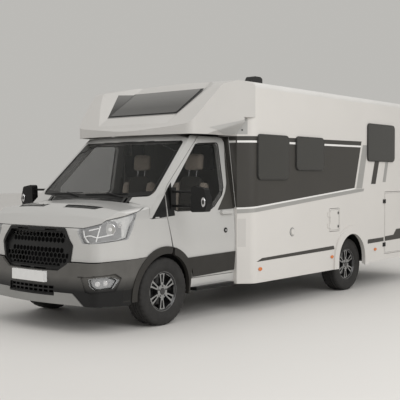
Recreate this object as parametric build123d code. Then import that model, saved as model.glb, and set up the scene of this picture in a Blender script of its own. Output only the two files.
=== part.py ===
from build123d import *
import os
from math import atan2, cos, degrees, hypot, radians, sin, tan

# Semi-integrated motorhome: a front-wheel-drive cab with a moulded overcab cap and a panel-built body.
# 
# Millimetres. The front of the vehicle faces -Y, its left side (the driver's) faces +X, +Z is up.
# Every function works with the front axle at y = 0 and the ground at z = 0. Each node is moved to the
# middle of the overall length when it is written.

# ---------------------------------------------------------------------------- driving dimensions
overall_length = 6990
front_overhang = 1030
wheelbase = 3660
body_width = 2320
skirt_height = 325
roof_edge_height = 2680
roof_crown = 55
roof_edge_radius = 70
wall_thickness = 34

front_track = 1732
rear_track = 1930
tyre_radius = 360
tyre_width = 235
rim_radius = 203
rim_lip_radius = 218
rim_width = 190

cab_rear = 1212              # front face of the living body
cab_wall = 55                # doors and pillars
wing_skin = 20               # wings, bonnet and bumper
shut_gap = 7                 # line between panels that move
seat_gap = 0.3               # a piece and the part that carries it
hub_fit = 0.05               # radial play of a wheel on its spindle

floor_top = 600
floor_thickness = 40
garage_floor_top = 460
garage_front = 4490

axle_y = -overall_length / 2 + front_overhang      # front axle in the finished vehicle's frame
rear_end = overall_length - front_overhang
rear_bumper_reach = 40
body_rear = rear_end - rear_bumper_reach
half_width = body_width / 2
hub_height = tyre_radius

# cab section, front view: half width, height, corner radius
CAB_SECTION = (
    (948, 250, 0),
    (1004, 800, 2000),
    (985, 1140, 1000),
    (822, 2075, 90),
)
# nose plan, from the side to the centre: half width, y, corner radius
NOSE_PLAN = (
    (996, 400, 0),
    (996, -500, 400),
    (842, -862, 130),
    (0, -985, 2500),
)
# bumper plan, same columns
BUMPER_PLAN = (
    (1012, 400, 0),
    (1012, -500, 400),
    (866, -900, 130),
    (0, -1030, 2500),
)
# nose and bonnet, side view on the centre line: y, height, corner radius
NOSE_SIDE = (
    (300, 200, 0),
    (-975, 200, 0),
    (-962, 600, 0),
    (-892, 1078, 90),
    (-800, 1190, 300),
    (-640, 1280, 500),
    (-200, 1328, 0),
    (300, 1390, 0),
)
CROWN_ROWS = (3, 4, 5, 6)    # rows of NOSE_SIDE that the bonnet's top passes through
bonnet_crown_radius = 8000
shoulder_radius = 110
shoulder_crown_radius = 7400
shoulder_rise = 46           # where the shoulders' slopes would meet, above the crown line
shoulder_drop = 66           # bonnet's edge below the crown line
cab_top = 2050

# windscreen: a cone about a vertical axis behind the cab
screen_axis_y = 4000
screen_base = (-250, 1315)   # y, height on the centre line
screen_head = (440, 1985)
# windscreen edge, front view: half width, height
SCREEN_EDGE = ((797, 1978), (900, 1368), (0, 1318))

# ---------------------------------------------------------------------------- shape helpers


def outline(points, radii=0):
    """Closed XY face through the corners, each rounded by its own radius."""
    if not isinstance(radii, (list, tuple)):
        radii = [radii] * len(points)
    if not any(radii):
        return make_face(Polyline(*points, close=True))
    return make_face(FilletPolyline(*points, radius=list(radii), close=True))


def rectangle(u0, u1, v0, v1, radius=0):
    return outline([(u0, v0), (u1, v0), (u1, v1), (u0, v1)], radius)


def mirrored_outline(rows):
    """Face that is symmetric about its second axis, from rows of half width, height, radius."""
    right = [(row[0], row[1]) for row in rows]
    radii = [row[2] for row in rows]
    left = [(-u, v) for u, v in reversed(right) if u]
    left_radii = [r for (u, v), r in zip(reversed(right), reversed(radii)) if u]
    return outline(right + left, radii + left_radii)


def along_x(face, x0, x1):
    return extrude(Plane.YZ.offset(x0) * face, x1 - x0, dir=(1, 0, 0))


def along_y(face, y0, y1):
    return extrude(Plane.XZ.offset(-y0) * face, y1 - y0, dir=(0, 1, 0))


def along_z(face, z0, z1):
    return extrude(Plane.XY.offset(z0) * face, z1 - z0, dir=(0, 0, 1))


def box(x0, x1, y0, y1, z0, z1):
    return Pos((x0 + x1) / 2, (y0 + y1) / 2, (z0 + z1) / 2) * Box(x1 - x0, y1 - y0, z1 - z0)


def rod(start, end, radius):
    """Round bar between two points."""
    start, end = Vector(*start), Vector(*end)
    plane = Plane(start, z_dir=end - start)
    return extrude(plane * Circle(radius), (end - start).length)


def tube_x(y, z, radius, x0, x1):
    return rod((x0, y, z), (x1, y, z), radius)


def grow(face, amount):
    """The face with its edge moved outwards, or inwards when the amount is negative."""
    return face if amount == 0 else offset(face, amount=amount, kind=Kind.INTERSECTION)


def flip(shape):
    """The same shape on the other side of the vehicle."""
    return mirror(shape, about=Plane.YZ)


def both(shape):
    """The shape and its mirror image, as solids that stay apart."""
    return solids_of(shape) + solids_of(flip(shape))


def solids_of(shape):
    if isinstance(shape, (list, tuple, ShapeList)):
        return [s for item in shape for s in solids_of(item)]
    return list(shape.solids())


def cut(shape, *tools):
    """Subtract each tool and keep every solid that is left."""
    for tool in tools:
        shape = shape - tool
    return shape


def largest(shape):
    return max(solids_of(shape), key=lambda s: s.volume)


NODES = {}


def node(name, *shapes):
    NODES[name] = solids_of(list(shapes))


# ---------------------------------------------------------------------------- the cab's skin


def cab_section(inset):
    rows = CAB_SECTION
    return grow(mirrored_outline(rows), -inset)


def screen_line(height, inset=0):
    """y of the windscreen's centre line at a height, moved inwards by the inset."""
    run = screen_head[0] - screen_base[0]
    rise = screen_head[1] - screen_base[1]
    return screen_base[0] + (height - screen_base[1]) * run / rise + inset * hypot(run, rise) / rise


def screen_cone(inset):
    """Solid behind the windscreen's surface."""
    low, high, back = 240, 2300, 2400
    profile = Polyline(
        (screen_line(low, inset), low), (screen_line(high, inset), high), (back, high), (back, low),
        close=True)
    turned = revolve(Plane.YZ * make_face(profile), axis=Axis((0, screen_axis_y, 0), (0, 0, 1)),
                     revolution_arc=40)
    return Pos(0, screen_axis_y, 0) * Rot(0, 0, -20) * Pos(0, -screen_axis_y, 0) * turned


def upper_cab(inset):
    return along_y(cab_section(inset), -1400, cab_rear) & screen_cone(inset)


def nose(inset, plan=NOSE_PLAN):
    """Bonnet and wings as one solid: crowned side view, plan and rounded shoulders together."""
    side = outline([row[:2] for row in NOSE_SIDE], [row[2] for row in NOSE_SIDE])
    side = grow(side, -inset)
    axis_height = NOSE_SIDE[CROWN_ROWS[-1]][1] - bonnet_crown_radius
    swing = 24
    crown = revolve(Plane.YZ * side, axis=Axis((0, 0, axis_height), (0, 1, 0)), revolution_arc=swing)
    crown = Pos(0, 0, axis_height) * Rot(0, -swing / 2, 0) * Pos(0, 0, -axis_height) * crown
    plan_prism = along_z(grow(mirrored_outline(plan), -inset), 100, 1500)
    section = along_y(cab_section(inset), -1100, 300)
    volume = section & plan_prism & crown
    edge = CAB_SECTION[1][0]
    shoulder = grow(mirrored_outline(((edge, -1900, 0), (edge, -shoulder_drop, shoulder_radius),
                                      (0, shoulder_rise, shoulder_crown_radius))), -inset)
    for first, last in zip(CROWN_ROWS, CROWN_ROWS[1:]):
        front, rear = NOSE_SIDE[first], NOSE_SIDE[last]
        rise = atan2(rear[1] - front[1], rear[0] - front[0])
        tilted = Plane(origin=(0, rear[0], rear[1]), x_dir=(1, 0, 0), z_dir=(0, -cos(rise), -sin(rise)))
        volume = volume & extrude(tilted * shoulder, 1900, both=True)
    return volume


def bumper_volume(inset):
    """Outer form of the front bumper, grown or shrunk."""
    side = outline([(-1100, 285), (-960, 285), (-60, 262), (-60, 760), (-1100, 700)], 0)
    return (along_z(grow(mirrored_outline(BUMPER_PLAN), -inset), 200, 800)
            & along_y(cab_section(inset - 10), -1100, -70) & along_x(side, -1100, 1100))


def arch(radius, x0=700, x1=1100):
    """Round prism about the front hub, on the left side."""
    return tube_x(0, hub_height, radius, x0, x1)


# ---------------------------------------------------------------------------- cab dimensions
front_arch_radius = 402
front_arch_outer = 480
front_liner_radius = 440
liner_skin = 6
trim_proud = 18
door_hinge = (968, 140)      # x, y of a cab door's hinge axis
DOOR_HINGE_HEIGHTS = (870, 1030)
hinge_half = 26              # half height of the pocket round a hinge
trim_swing_radius = 66       # room for the door's arch trim as it swings
doorway_shoulder = 1850      # height where the way to the living space narrows
bonnet_hinge = (-100, 1262)  # y, height of the bonnet's hinge axis
bonnet_hinge_x = 600
bonnet_pin_radius = 8
column_tilt = 30             # degrees of the steering column above level
column_radius = 32
grille_frame = 34            # width of the frame round the grille
grille_depth = 44
grille_plate_thickness = 10
grille_foot = -946           # y of the plate's crease at height 600
grille_rake = 0.146          # mm back for each mm up
grille_sweep = 0.045         # mm back for each mm outwards
cell_size = 50               # honeycomb cell, flat to flat
cell_wall = 9
band_middle = 872            # plain band across the grille
band_half = 42

# bonnet's lower edge, side view: y, height
BONNET_LINE = ((-1100, 1061), (-866, 1061), (-757, 1140), (-397, 1219), (-190, 1285))
bonnet_screen_gap = 14       # bonnet's rear edge in front of the windscreen
vent_depth = 8
# left bonnet vent, plan view: x, y
BONNET_VENT = ((146, -607), (164, -682), (622, -656), (668, -570))
# cab door, side view: y, height, corner radius
DOOR_EDGE = (
    (45, 1140, 0),
    (130, 800, 0),
    (130, 463, 0),
    (1194, 463, 0),
    (1194, 1200, 0),
    (1184, 2036, 85),
    (733, 2036, 40),
    (100, 1478, 60),
    (54, 1400, 40),
)
# cab door window, side view: y, height, corner radius
DOOR_WINDOW = (
    (165, 1205, 20),
    (165, 1448, 20),
    (660, 1946, 40),
    (1062, 1968, 60),
    (1052, 1400, 60),
    (800, 1205, 60),
)
# grille, front view: half width, height, corner radius
GRILLE_EDGE = (
    (440, 1053, 30),
    (566, 880, 40),
    (530, 700, 40),
    (400, 622, 30),
)
# headlamp, side view: y, height, corner radius
HEADLAMP_SIDE = (
    (-1100, 905, 0),
    (-865, 905, 0),
    (-763, 914, 0),
    (-537, 942, 20),
    (-392, 1230, 0),
    (-757, 1150, 0),
    (-866, 1070, 0),
    (-1100, 1070, 0),
)
# headlamp's inner end, front view: x, height, corner radius
HEADLAMP_FRONT = (
    (618, 1400, 0),
    (618, 1010, 30),
    (700, 880, 30),
    (1100, 880, 0),
    (1100, 1400, 0),
)


def rows_outline(rows):
    return outline([row[:2] for row in rows], [row[2] for row in rows])


def screen_prism(amount=0):
    """Prism of the windscreen's edge, seen from the front."""
    (top_x, top_z), (base_x, base_z), (_, middle_z) = SCREEN_EDGE
    rows = ((top_x, top_z, 45), (base_x, base_z, 60), (0, middle_z, 1500))
    return along_y(grow(mirrored_outline(rows), amount), -700, 900)


def bonnet_region(amount=0):
    points = list(BONNET_LINE) + [(-100, 1400), (-1100, 1500)]
    return along_x(grow(outline(points), amount), -1100, 1100)


def headlamp_region(amount=0):
    side = grow(rows_outline(HEADLAMP_SIDE), amount)
    front = grow(rows_outline(HEADLAMP_FRONT), amount)
    return along_x(side, 300, 1100) & along_y(front, -1200, 0)


def grille_region(amount=0):
    return along_y(grow(mirrored_outline(GRILLE_EDGE), amount), -1100, -700)


def build_front():
    """Bonnet, wings, cowl, bumper, skid plate, lamps, grille and plate."""
    outer, inner = nose(0), nose(wing_skin)
    skin = outer - inner
    vent = along_z(outline(BONNET_VENT, 12), 1100, 1400) - nose(vent_depth)
    bonnet = largest(cut(skin & bonnet_region(), screen_cone(-bonnet_screen_gap), vent, flip(vent)))
    node("bonnet", bonnet_arms(bonnet, nose(wing_skin - 3)))

    rear_line = outline([(-1100, 716), (-985, 716), (-280, 750), (-280, 690), (112, 690), (112, 800),
                         (38, 1137), (-227, 1137), (-206, 1400), (-1100, 1400)])
    wings = skin & along_x(rear_line, -1100, 1100)
    wings = cut(wings, bonnet_region(shut_gap), grille_region(seat_gap),
                headlamp_region(seat_gap), flip(headlamp_region(seat_gap)),
                arch(front_arch_outer + seat_gap), flip(arch(front_arch_outer + seat_gap)),
                box(-660, 660, -420, -150, 1180, 1400))
    node("front_wings", [s for s in solids_of(wings) if s.volume > 1e5])

    lamp = largest(cut(nose(1) & headlamp_region(), nose(60), bonnet_region(shut_gap)))

    hollow = bumper_volume(25)
    bumper = bumper_volume(0) - hollow
    corner = along_x(outline([(-400, 700), (-400, 330), (-536, 250), (-300, 250), (-20, 250), (-20, 700)]),
                     -1100, 1100)
    bumper = cut(bumper, grille_region(seat_gap), corner - box(-1100, 1100, -480, 0, 480, 800),
                 arch(front_arch_outer + seat_gap), flip(arch(front_arch_outer + seat_gap)))
    fog = [(776, 562), (915, 578), (952, 545), (927, 458), (842, 452), (792, 490)]
    fog_prism = along_y(outline(fog, 14), -1100, -500)
    recess = along_y(outline([(690, 573), (950, 601), (968, 553), (944, 430), (826, 414), (746, 428)], 12),
                     -1100, -500) - bumper_volume(12)
    lower_grille = along_y(rectangle(-360, 360, 385, 470, 14), -1100, -700)
    bumper = cut(bumper, recess, flip(recess), fog_prism, flip(fog_prism), lower_grille)
    node("front_bumper", largest(bumper))
    fog_lamp = (bumper_volume(16) - bumper_volume(45)) & along_y(grow(outline(fog, 14), -seat_gap), -1100, -500)
    node("front_lamps", both(lamp), both(largest(fog_lamp)))
    mesh = (bumper_volume(14) - bumper_volume(24)) & along_y(
        rectangle(-360 + seat_gap, 360 - seat_gap, 385 + seat_gap, 470 - seat_gap, 14), -1100, -700)
    slots = [box(x - 30, x + 30, -1100, -800, z, z + 26)
             for z in (394, 434) for x in range(-300, 301, 75)]
    lower_mesh = largest(cut(mesh, *slots))
    skid_face = mirrored_outline(((596, 405, 12), (735, 288, 0), (0, 288, 0), ))
    skid_face = skid_face - rectangle(-362, 362, 368, 500, 10)
    skid = (bumper_volume(-8) - bumper_volume(0)) & along_y(skid_face, -1100, -700)
    node("skid_plate", largest(skid))
    plate = box(-260, 260, -front_overhang, -960, 502, 612) - bumper_volume(0)
    rear_plate = box(-260, 260, body_rear, body_rear + 12, 640, 750)
    node("number_plates", largest(plate), rear_plate)

    frame = (nose(-10) & grille_region()) - nose(grille_depth)
    window = grow(mirrored_outline(GRILLE_EDGE), -grille_frame)
    frame = frame - along_y(window, -1100, -700)
    for x0, x1, z in ((132, 312, 1030), (28, 208, 634)):
        slot = along_y(rectangle(x0, x1, z - 7, z + 7, 5), -1100, -700)
        frame = cut(frame, slot, flip(slot))
    honeycomb = grow(mirrored_outline(GRILLE_EDGE), -grille_frame + 6) - honeycomb_cells(window)
    honeycomb = grille_plate() & along_y(honeycomb, -1100, -700)
    node("grille", largest(frame + honeycomb), lower_mesh)


def grille_plate():
    """Flat plate bent once on the centre line and leaning back like the nose."""
    half, low, high = 640, 560, 1100
    swept = half * grille_sweep
    front = [(-half, swept), (0, 0), (half, swept)]
    back = [(x, y + grille_plate_thickness) for x, y in reversed(front)]
    start = grille_foot - (600 - low) * grille_rake
    plate = Pos(0, start, low) * outline(front + back)
    return extrude(plate, high - low, dir=(0, grille_rake, 1))


def honeycomb_cells(window):
    """Hexagonal cells that fit inside the window, above and below the grille's plain band."""
    cells = []
    step_x, step_z = cell_size + cell_wall, (cell_size + cell_wall) * cos(radians(30))
    inner = grow(window, -cell_wall)
    for row in range(-4, 5):
        z = band_middle + row * step_z
        if abs(z - band_middle) < band_half + cell_size / 2:
            continue
        for column in range(-12, 13):
            x = (column + (row % 2) / 2) * step_x
            cell = Pos(x, z) * RegularPolygon(cell_size / 2, 6, major_radius=False, rotation=30)
            cell = cell & inner
            if cell and sum(f.area for f in cell.faces()) > 0.35 * cell_size ** 2:
                cells.append(cell)
    return cells


def bonnet_arms(bonnet, under):
    """Hinge arms under the bonnet's rear edge, bored for the scuttle's pins."""
    y, z = bonnet_hinge
    side = outline([(-400, z - 20), (y + 13, z - 20), (y + 13, z + 13), (y - 13, z + 13), (y - 30, z - 6),
                    (-300, z - 6), (-330, z + 60), (-400, z + 60)])
    for x in (bonnet_hinge_x, -bonnet_hinge_x):
        arm = along_x(side, x - 10, x + 10) & under
        bonnet = bonnet + arm - tube_x(y, z, bonnet_pin_radius + hub_fit, x - 20, x + 20)
    return largest(bonnet)


def with_scuttle(shell):
    """The shell with the panel under the windscreen and the pins that carry the bonnet."""
    y, z = bonnet_hinge
    low = z - 40
    reach = box(-858, 858, -204, -30, low, 1420) + box(-640, 640, -420, -200, low, 1420)
    face = cut((upper_cab(2) - upper_cab(14)) & reach, screen_prism())
    shelf = upper_cab(4) & reach & box(-850, 850, -420, -61, low, low + 14)
    shell = shell + face + shelf
    for x in (bonnet_hinge_x, -bonnet_hinge_x):
        shell = shell - box(x - 15, x + 15, -420, y + 24, low + 14, 1345)
        for near, far in ((x - 20, x - 10.3), (x + 10.3, x + 20)):
            shell = shell + box(near, far, y - 12, y + 12, low + 10, z + 12)
        shell = shell + tube_x(y, z, bonnet_pin_radius, x - 12, x + 12)
    return shell


def build_cab():
    """Pillars, floor, doors, glass and trims of the cab."""
    outer, door_inner, jamb_outer, jamb_inner = (upper_cab(i) for i in (0, cab_wall, cab_wall + 5, 92))
    region = along_x(outline([(-226, 1141), (-203, 1302), (-300, 1420), (-300, cab_top), (cab_rear, cab_top),
                              (cab_rear, 360), (432, 360), (432, 1141)]), -1100, 1100)
    door_face = rows_outline(DOOR_EDGE)
    door_hole = grow(door_face, shut_gap)
    upper_gap = rectangle(1100, 1200, 1205, 2000)
    door_hole = along_x(door_hole + upper_gap, -1100, 1100)
    inner_hole = along_x(grow(door_face, -30) + rectangle(0, 340, 470, 1400), -1100, 1100)
    inner_hole = inner_hole & along_x(grow(door_face, shut_gap), -1100, 1100)
    skin = cut((outer - jamb_outer) & region, door_hole)
    layer = cut((jamb_outer - jamb_inner) & region, inner_hole)
    liner = arch(front_liner_radius + liner_skin + seat_gap, 480, 1100)
    shell = cut(skin + layer, screen_prism(), liner, flip(liner), box(-820, 820, 560, 1300, 2000, 2100),
                box(-850, 850, 1000, 1300, 300, doorway_shoulder), box(-740, 740, 1000, 1300, 300, 2100))
    shell = with_scuttle(shell)
    node("cab_shell", [s for s in solids_of(shell) if s.volume > 2e5])

    glass = (upper_cab(3) - upper_cab(8)) & screen_prism(-seat_gap)
    glass = glass & box(-1000, 1000, -700, 800, 1200, 2100)
    node("windscreen", largest(glass))

    floor_side = outline([(-60, 560), (cab_rear, 560), (cab_rear, 580), (-30, 580), (-30, 1240), (-60, 1240)])
    floor = along_x(floor_side, -1000, 1000) & upper_cab(92.3)
    liner_hole = arch(front_liner_radius + liner_skin + seat_gap, 500, 1100)
    node("cab_floor", largest(cut(floor, liner_hole, flip(liner_hole))))

    front = -30 + seat_gap
    dash_side = outline([(front, 985), (190, 930), (262, 1075), (215, 1195), (90, 1235), (front, 1258)],
                        [0, 40, 40, 40, 60, 0])
    dash = along_x(dash_side, -815, 815) & upper_cab(94)
    liner_clear = arch(front_liner_radius + 30, 480, 1100)
    steering_hole = column_place() * Pos(0, 0, -120) * Cylinder(column_radius + seat_gap, 240)
    node("dashboard", largest(cut(dash, liner_clear, flip(liner_clear), steering_hole)))

    ring = tube_x(0, hub_height, front_arch_outer, 700, 1100) - arch(front_arch_radius)
    band = along_y(cab_section(-trim_proud), -900, 900) - along_y(cab_section(30), -900, 900)
    ring = (ring & band) & box(0, 1200, -700, 425, 296, 1000)
    front_part = ring & along_x(outline([(-700, 200), (0, 200), (0, 700), (112, 790), (100, 900), (-700, 900)]),
                                700, 1100)
    door_part = ring & along_x(outline([(126, 790), (114, 900), (700, 900), (700, 200), (0, 200), (0, 700)]),
                               700, 1100)
    door_part = cut(door_part, box(0, 1200, -700, 126, 200, 1000))
    front_part = cut(front_part, box(0, 1200, 60, 700, 200, 700),
                     Pos(*door_hinge, 800) * Cylinder(trim_swing_radius, 400))
    node("front_arch_trims", both(largest(front_part)))

    door = cut((outer - door_inner) & along_x(door_face, 760, 1100), arch(front_arch_outer + seat_gap))
    window = rows_outline(DOOR_WINDOW)
    door = largest(cut(door, along_x(window, 300, 1100)))
    x, y = door_hinge
    pillar = box(820, 868, -29.7, y + 50, 560, 1100) - liner
    for z in DOOR_HINGE_HEIGHTS:
        door = door - box(900, x + 11, -100, y + 13, z - hinge_half, z + hinge_half)
        pillar = pillar + box(860, x, y - 8, y + 8, z - 16, z + 16)
        pillar = pillar + Pos(x, y, z) * Cylinder(9, 2 * (hinge_half - seat_gap))
    pillar = cut(pillar, box(800, 900, -100, 300, 500, 580 + 0.001))
    node("hinge_pillars", both(largest(pillar)))
    door = largest(door)
    pane = largest((upper_cab(12) - upper_cab(17)) & along_x(grow(window, -seat_gap), 300, 1100))
    clad_face = outline([(300, 690), (1194, 709), (1194, 492), (300, 468)])
    clad = (along_y(cab_section(-14), -900, 1300) - along_y(cab_section(0), -900, 1300)) & along_x(
        clad_face, 700, 1100)
    clad = cut(clad, arch(front_arch_outer))
    trim = clad + largest(door_part)
    handle = box(975, 1016, 960, 1075, 1158, 1184) - upper_cab(0)
    node("cab_door_left", door)
    node("cab_door_right", flip(door))
    for side, place in (("left", lambda s: s), ("right", flip)):
        node(f"door_glass_{side}", place(pane))
        node(f"door_trim_{side}", [place(s) for s in solids_of(trim) if s.volume > 1e4], place(largest(handle)))
    build_mirrors()

    board = box(700, 1018, 432, 1150, 322, 359.7)
    node("running_boards", both(cut(board, arch(front_liner_radius + 40))))


def build_mirrors():
    arm_low = rod((940, 150, 1262), (1330, 112, 1262), 15)
    arm_high = rod((930, 150, 1415), (1330, 112, 1415), 13)
    head_face = outline([(1285, 1205), (1480, 1212), (1512, 1300), (1470, 1450), (1300, 1478)], 30)
    head = along_y(head_face, 62, 150)
    base = box(940, 975, 110, 190, 1215, 1460)
    mirror_left = head + arm_low + arm_high + base
    mirror_left = cut(mirror_left, upper_cab(0))
    node("mirror_left", largest(mirror_left))
    node("mirror_right", flip(largest(mirror_left)))


# ---------------------------------------------------------------------------- living body
corner_flat = 1010           # half width of the body's front face
corner_radius = 140
rear_corner_radius = 60
cap_rear = 1370              # seam between overcab cap and roof
cap_seam_height = 2262
rear_arch_y = wheelbase - 45
rear_arch_inner = 360
rear_arch_outer = 470
rear_arch_centre = 430
arch_trim_proud = 23
pane_proud = 22
pane_lap = 28
door_gap = 6

# windows of the living body: side, y front, y rear, bottom, top
WINDOWS = (
    (+1, 1404, 2051, 1540, 2072),
    (+1, 2217, 2866, 1657, 2075),
    (+1, 4045, 4857, 1798, 2330),
    (-1, 1404, 1950, 1540, 2072),
    (-1, 2900, 3500, 1657, 2075),
    (-1, 4045, 4857, 1798, 2330),
)
# panels that open in the walls: name, side, y front, y rear, bottom, top
WALL_DOORS = (
    ("garage_door_left", +1, 4581, 5601, 447, 1352),
    ("garage_door_right", -1, 4581, 5601, 447, 1352),
    ("entrance_door", -1, 2090, 2710, 430, 2260),
    ("service_flap", +1, 3036, 3294, 850, 1150),
)
wall_hinge_out = 9
wall_hinge_radius = 7


def body_plan(inset):
    """Plan of the body, its front corners bevelled to meet the narrower cab."""
    bevel = half_width - corner_flat
    ease = inset * tan(radians(22.5))
    rows = ((corner_flat - ease, cab_rear + inset, 10),
            (half_width - inset, cab_rear + bevel + ease, corner_radius - inset),
            (half_width - inset, body_rear - inset, rear_corner_radius - inset))
    right = [row[:2] for row in rows]
    points = right + [(-x, y) for x, y in reversed(right)]
    radii = [row[2] for row in rows]
    return outline(points, radii + radii[::-1])


def body_section(inset):
    return mirrored_outline((
        (half_width - inset, 200, 0),
        (half_width - inset, roof_edge_height - inset, roof_edge_radius - inset),
        (0, roof_edge_height + roof_crown - inset, 0)))


def body_volume(inset):
    return along_z(body_plan(inset), 150, 2900) & along_y(body_section(inset), 1000, 6100)


def rear_arch_face(half, low=200):
    """Arch over the rear wheel: a half round on straight legs."""
    legs = rectangle(rear_arch_y - half, rear_arch_y + half, low, rear_arch_centre)
    return legs + Pos(rear_arch_y, rear_arch_centre) * Circle(half)


def wall_box(side, y0, y1, z0, z1, x0=1100, x1=1200, amount=0, radius=0):
    face = rectangle(y0 - amount, y1 + amount, z0 - amount, z1 + amount, radius)
    return along_x(face, x0, x1) if side > 0 else along_x(face, -x1, -x0)


def build_body():
    """Walls, roof, rear wall, floor, windows, doors and trims of the living body."""
    shell = body_volume(0) - body_volume(wall_thickness)
    skirt = outline([(1000, 0), (6200, 0), (6200, 388), (4400, 358), (3300, 334), (1240, skirt_height),
                     (1000, skirt_height)])
    shell = cut(shell, along_x(skirt, -1300, 1300),
                box(-1300, 1300, 1000, cap_rear, cap_seam_height, 2900),
                box(-860, 860, 1000, 1300, 0, doorway_shoulder), box(-740, 740, 1000, 1300, 0, 2900))
    split = roof_edge_height - roof_edge_radius
    node("roof_panel", largest(cut(shell & box(-1300, 1300, 1000, 6100, split, 2900), *roof_holes())))
    rear_y = body_rear - 60
    rear = shell & box(-1300, 1300, rear_y, 6100, 0, split)
    node("rear_wall", largest(rear))
    walls = shell & box(-1300, 1300, 1000, rear_y, 0, split)
    arches = along_x(rear_arch_face(rear_arch_inner + 4), -1300, 1300)
    for side, name in ((1, "wall_left"), (-1, "wall_right")):
        half = box(0, 1300, 1000, 6100, 0, 2900) if side > 0 else box(-1300, 0, 1000, 6100, 0, 2900)
        wall = largest(walls & half) - arches
        for s, y0, y1, z0, z1 in WINDOWS:
            if s == side:
                wall = wall - wall_box(s, y0, y1, z0, z1, amount=-pane_lap, radius=40)
        for _, s, y0, y1, z0, z1 in WALL_DOORS:
            if s == side:
                wall = wall - wall_box(s, y0, y1, z0, z1, amount=door_gap, radius=20)
        leaves = [leaf for row in WALL_DOORS if row[1] == side for leaf in hinge_leaf(*row[1:])]
        for leaf in leaves:
            wall = wall + leaf
        node(name, largest(wall))
    panes = [wall_box(s, y0, y1, z0, z1, half_width, half_width + pane_proud, radius=60)
             for s, y0, y1, z0, z1 in WINDOWS]
    node("side_windows", panes)
    for name, s, y0, y1, z0, z1 in WALL_DOORS:
        panel = largest(walls & wall_box(s, y0, y1, z0, z1, radius=16))
        for leaf in hinge_leaf(s, y0, y1, z0, z1, moving=True):
            panel = panel + leaf
        node(name, largest(panel))

    ring = rear_arch_face(rear_arch_outer) - rear_arch_face(rear_arch_inner)
    ring = along_x(ring, half_width, half_width + arch_trim_proud) & box(1000, 1300, 1000, 6100, 336, 1200)
    node("rear_arch_trims", both(largest(ring)))

    lower = floor_top - floor_thickness
    inner = half_width - wall_thickness
    floor_side = outline([
        (cab_rear, lower), (garage_front - floor_thickness, lower),
        (garage_front - floor_thickness, garage_floor_top - floor_thickness),
        (body_rear - wall_thickness, garage_floor_top - floor_thickness),
        (body_rear - wall_thickness, garage_floor_top), (garage_front, garage_floor_top),
        (garage_front, floor_top), (cab_rear, floor_top)])
    floor = along_x(floor_side, -1300, 1300) & along_z(body_plan(wall_thickness), 300, 700)
    well = tube_x(wheelbase - 20, hub_height, rear_liner_radius + liner_skin + seat_gap, 795, 1300)
    node("floor_panel", largest(cut(floor, well, flip(well))))
    deck = outline([(garage_front, floor_top), (garage_front + 20, floor_top), (garage_front + 20, 1400),
                    (body_rear - wall_thickness, 1400), (body_rear - wall_thickness, 1420),
                    (garage_front, 1420)])
    lining = along_x(deck, -inner + 2, inner - 2) & along_z(body_plan(wall_thickness + 0.3), 500, 1500)
    node("garage_lining", largest(lining))

    liner = tube_x(wheelbase - 20, hub_height, rear_liner_radius + liner_skin, 795, 1125.7)
    liner = liner - tube_x(wheelbase - 20, hub_height, rear_liner_radius, 801, 1200)
    liner = liner - tube_x(wheelbase, hub_height, 60, 700, 900)
    rear_liner = largest(liner & box(0, 1300, 1000, 6100, 372, 1200))
    ring = arch(front_liner_radius + liner_skin, 500, 912) - arch(front_liner_radius, 400, 1000)
    front_liner = largest(ring & box(0, 1300, -700, 700, 330, 1200))
    node("wheel_liners", both(rear_liner), both(front_liner))


rear_liner_radius = 425
# openings in the roof: y, half length along y, half width
ROOF_LIGHTS = ((2450, 200, 200), (3700, 260, 350), (body_rear - 770, 200, 200))


def roof_holes():
    return [box(-w, w, y - h, y + h, 2500, 2900) for y, h, w in ROOF_LIGHTS]


def build_roof_fittings():
    """Rooflights and the aerial."""
    lights = []
    for y, h, w in ROOF_LIGHTS:
        low = roof_edge_height + roof_crown - 130
        dome_face = outline([(-w - 40, 0), (w + 40, 0), (w - 10, 78), (-w + 10, 78)], [0, 0, 30, 30])
        dome = along_y(dome_face, y - h - 40, y + h + 40)
        dome = Pos(0, 0, low + 90) * dome
        neck = box(-w + 3, w - 3, y - h + 3, y + h - 3, low + 60, low + 120)
        lights.append(largest(cut(dome + neck, body_volume(0) - box(-w + 3, w - 3, y - h + 3, y + h - 3, 0, 3000))))
    aerial_face = outline([(1660, 2690), (1900, 2690), (1900, 2780), (1860, 2800), (1730, 2800)], [0, 0, 20, 20, 40])
    aerial = along_x(aerial_face, 760, 880) - body_volume(0)
    node("roof_fittings", lights, largest(aerial))


def hinge_heights(z0, z1):
    """Two hinges on a low door, three on a tall one."""
    inset = min(135, (z1 - z0) / 4)
    count = 3 if z1 - z0 > 1500 else 2
    return [z0 + inset + i * (z1 - z0 - 2 * inset) / (count - 1) for i in range(count)]


def hinge_leaf(side, y0, y1, z0, z1, moving=False):
    """Leaves of a door's hinges: the door's carry the middle of each barrel, the wall's its ends."""
    x, y = half_width + wall_hinge_out, y0 - wall_hinge_out
    half, gap = 28, seat_gap
    leaves = []
    for z in hinge_heights(z0, z1):
        way = 1 if moving else -1
        plate = box(half_width + 4, half_width + 8, *sorted((y, y + way * 38)), z - half, z + half)
        foot = box(half_width, half_width + 8, *sorted((y + way * 14, y + way * 38)), z - half, z + half)
        ends = ((z - 9, z + 9),) if moving else ((z - half, z - 9 - gap), (z + 9 + gap, z + half))
        clear = box(half_width + 3, half_width + 9 + 9, y - 9, y + 9, z - half - 1, z + half + 1)
        leaf = (plate - clear) + foot
        for low, high in ends:
            leaf = leaf + rod((x, y, low), (x, y, high), wall_hinge_radius)
            leaf = leaf + box(half_width + 4, half_width + 8, *sorted((y, y + way * 12)), low, high)
        leaves.append(leaf)
    return leaves if side > 0 else [flip(leaf) for leaf in leaves]


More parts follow.
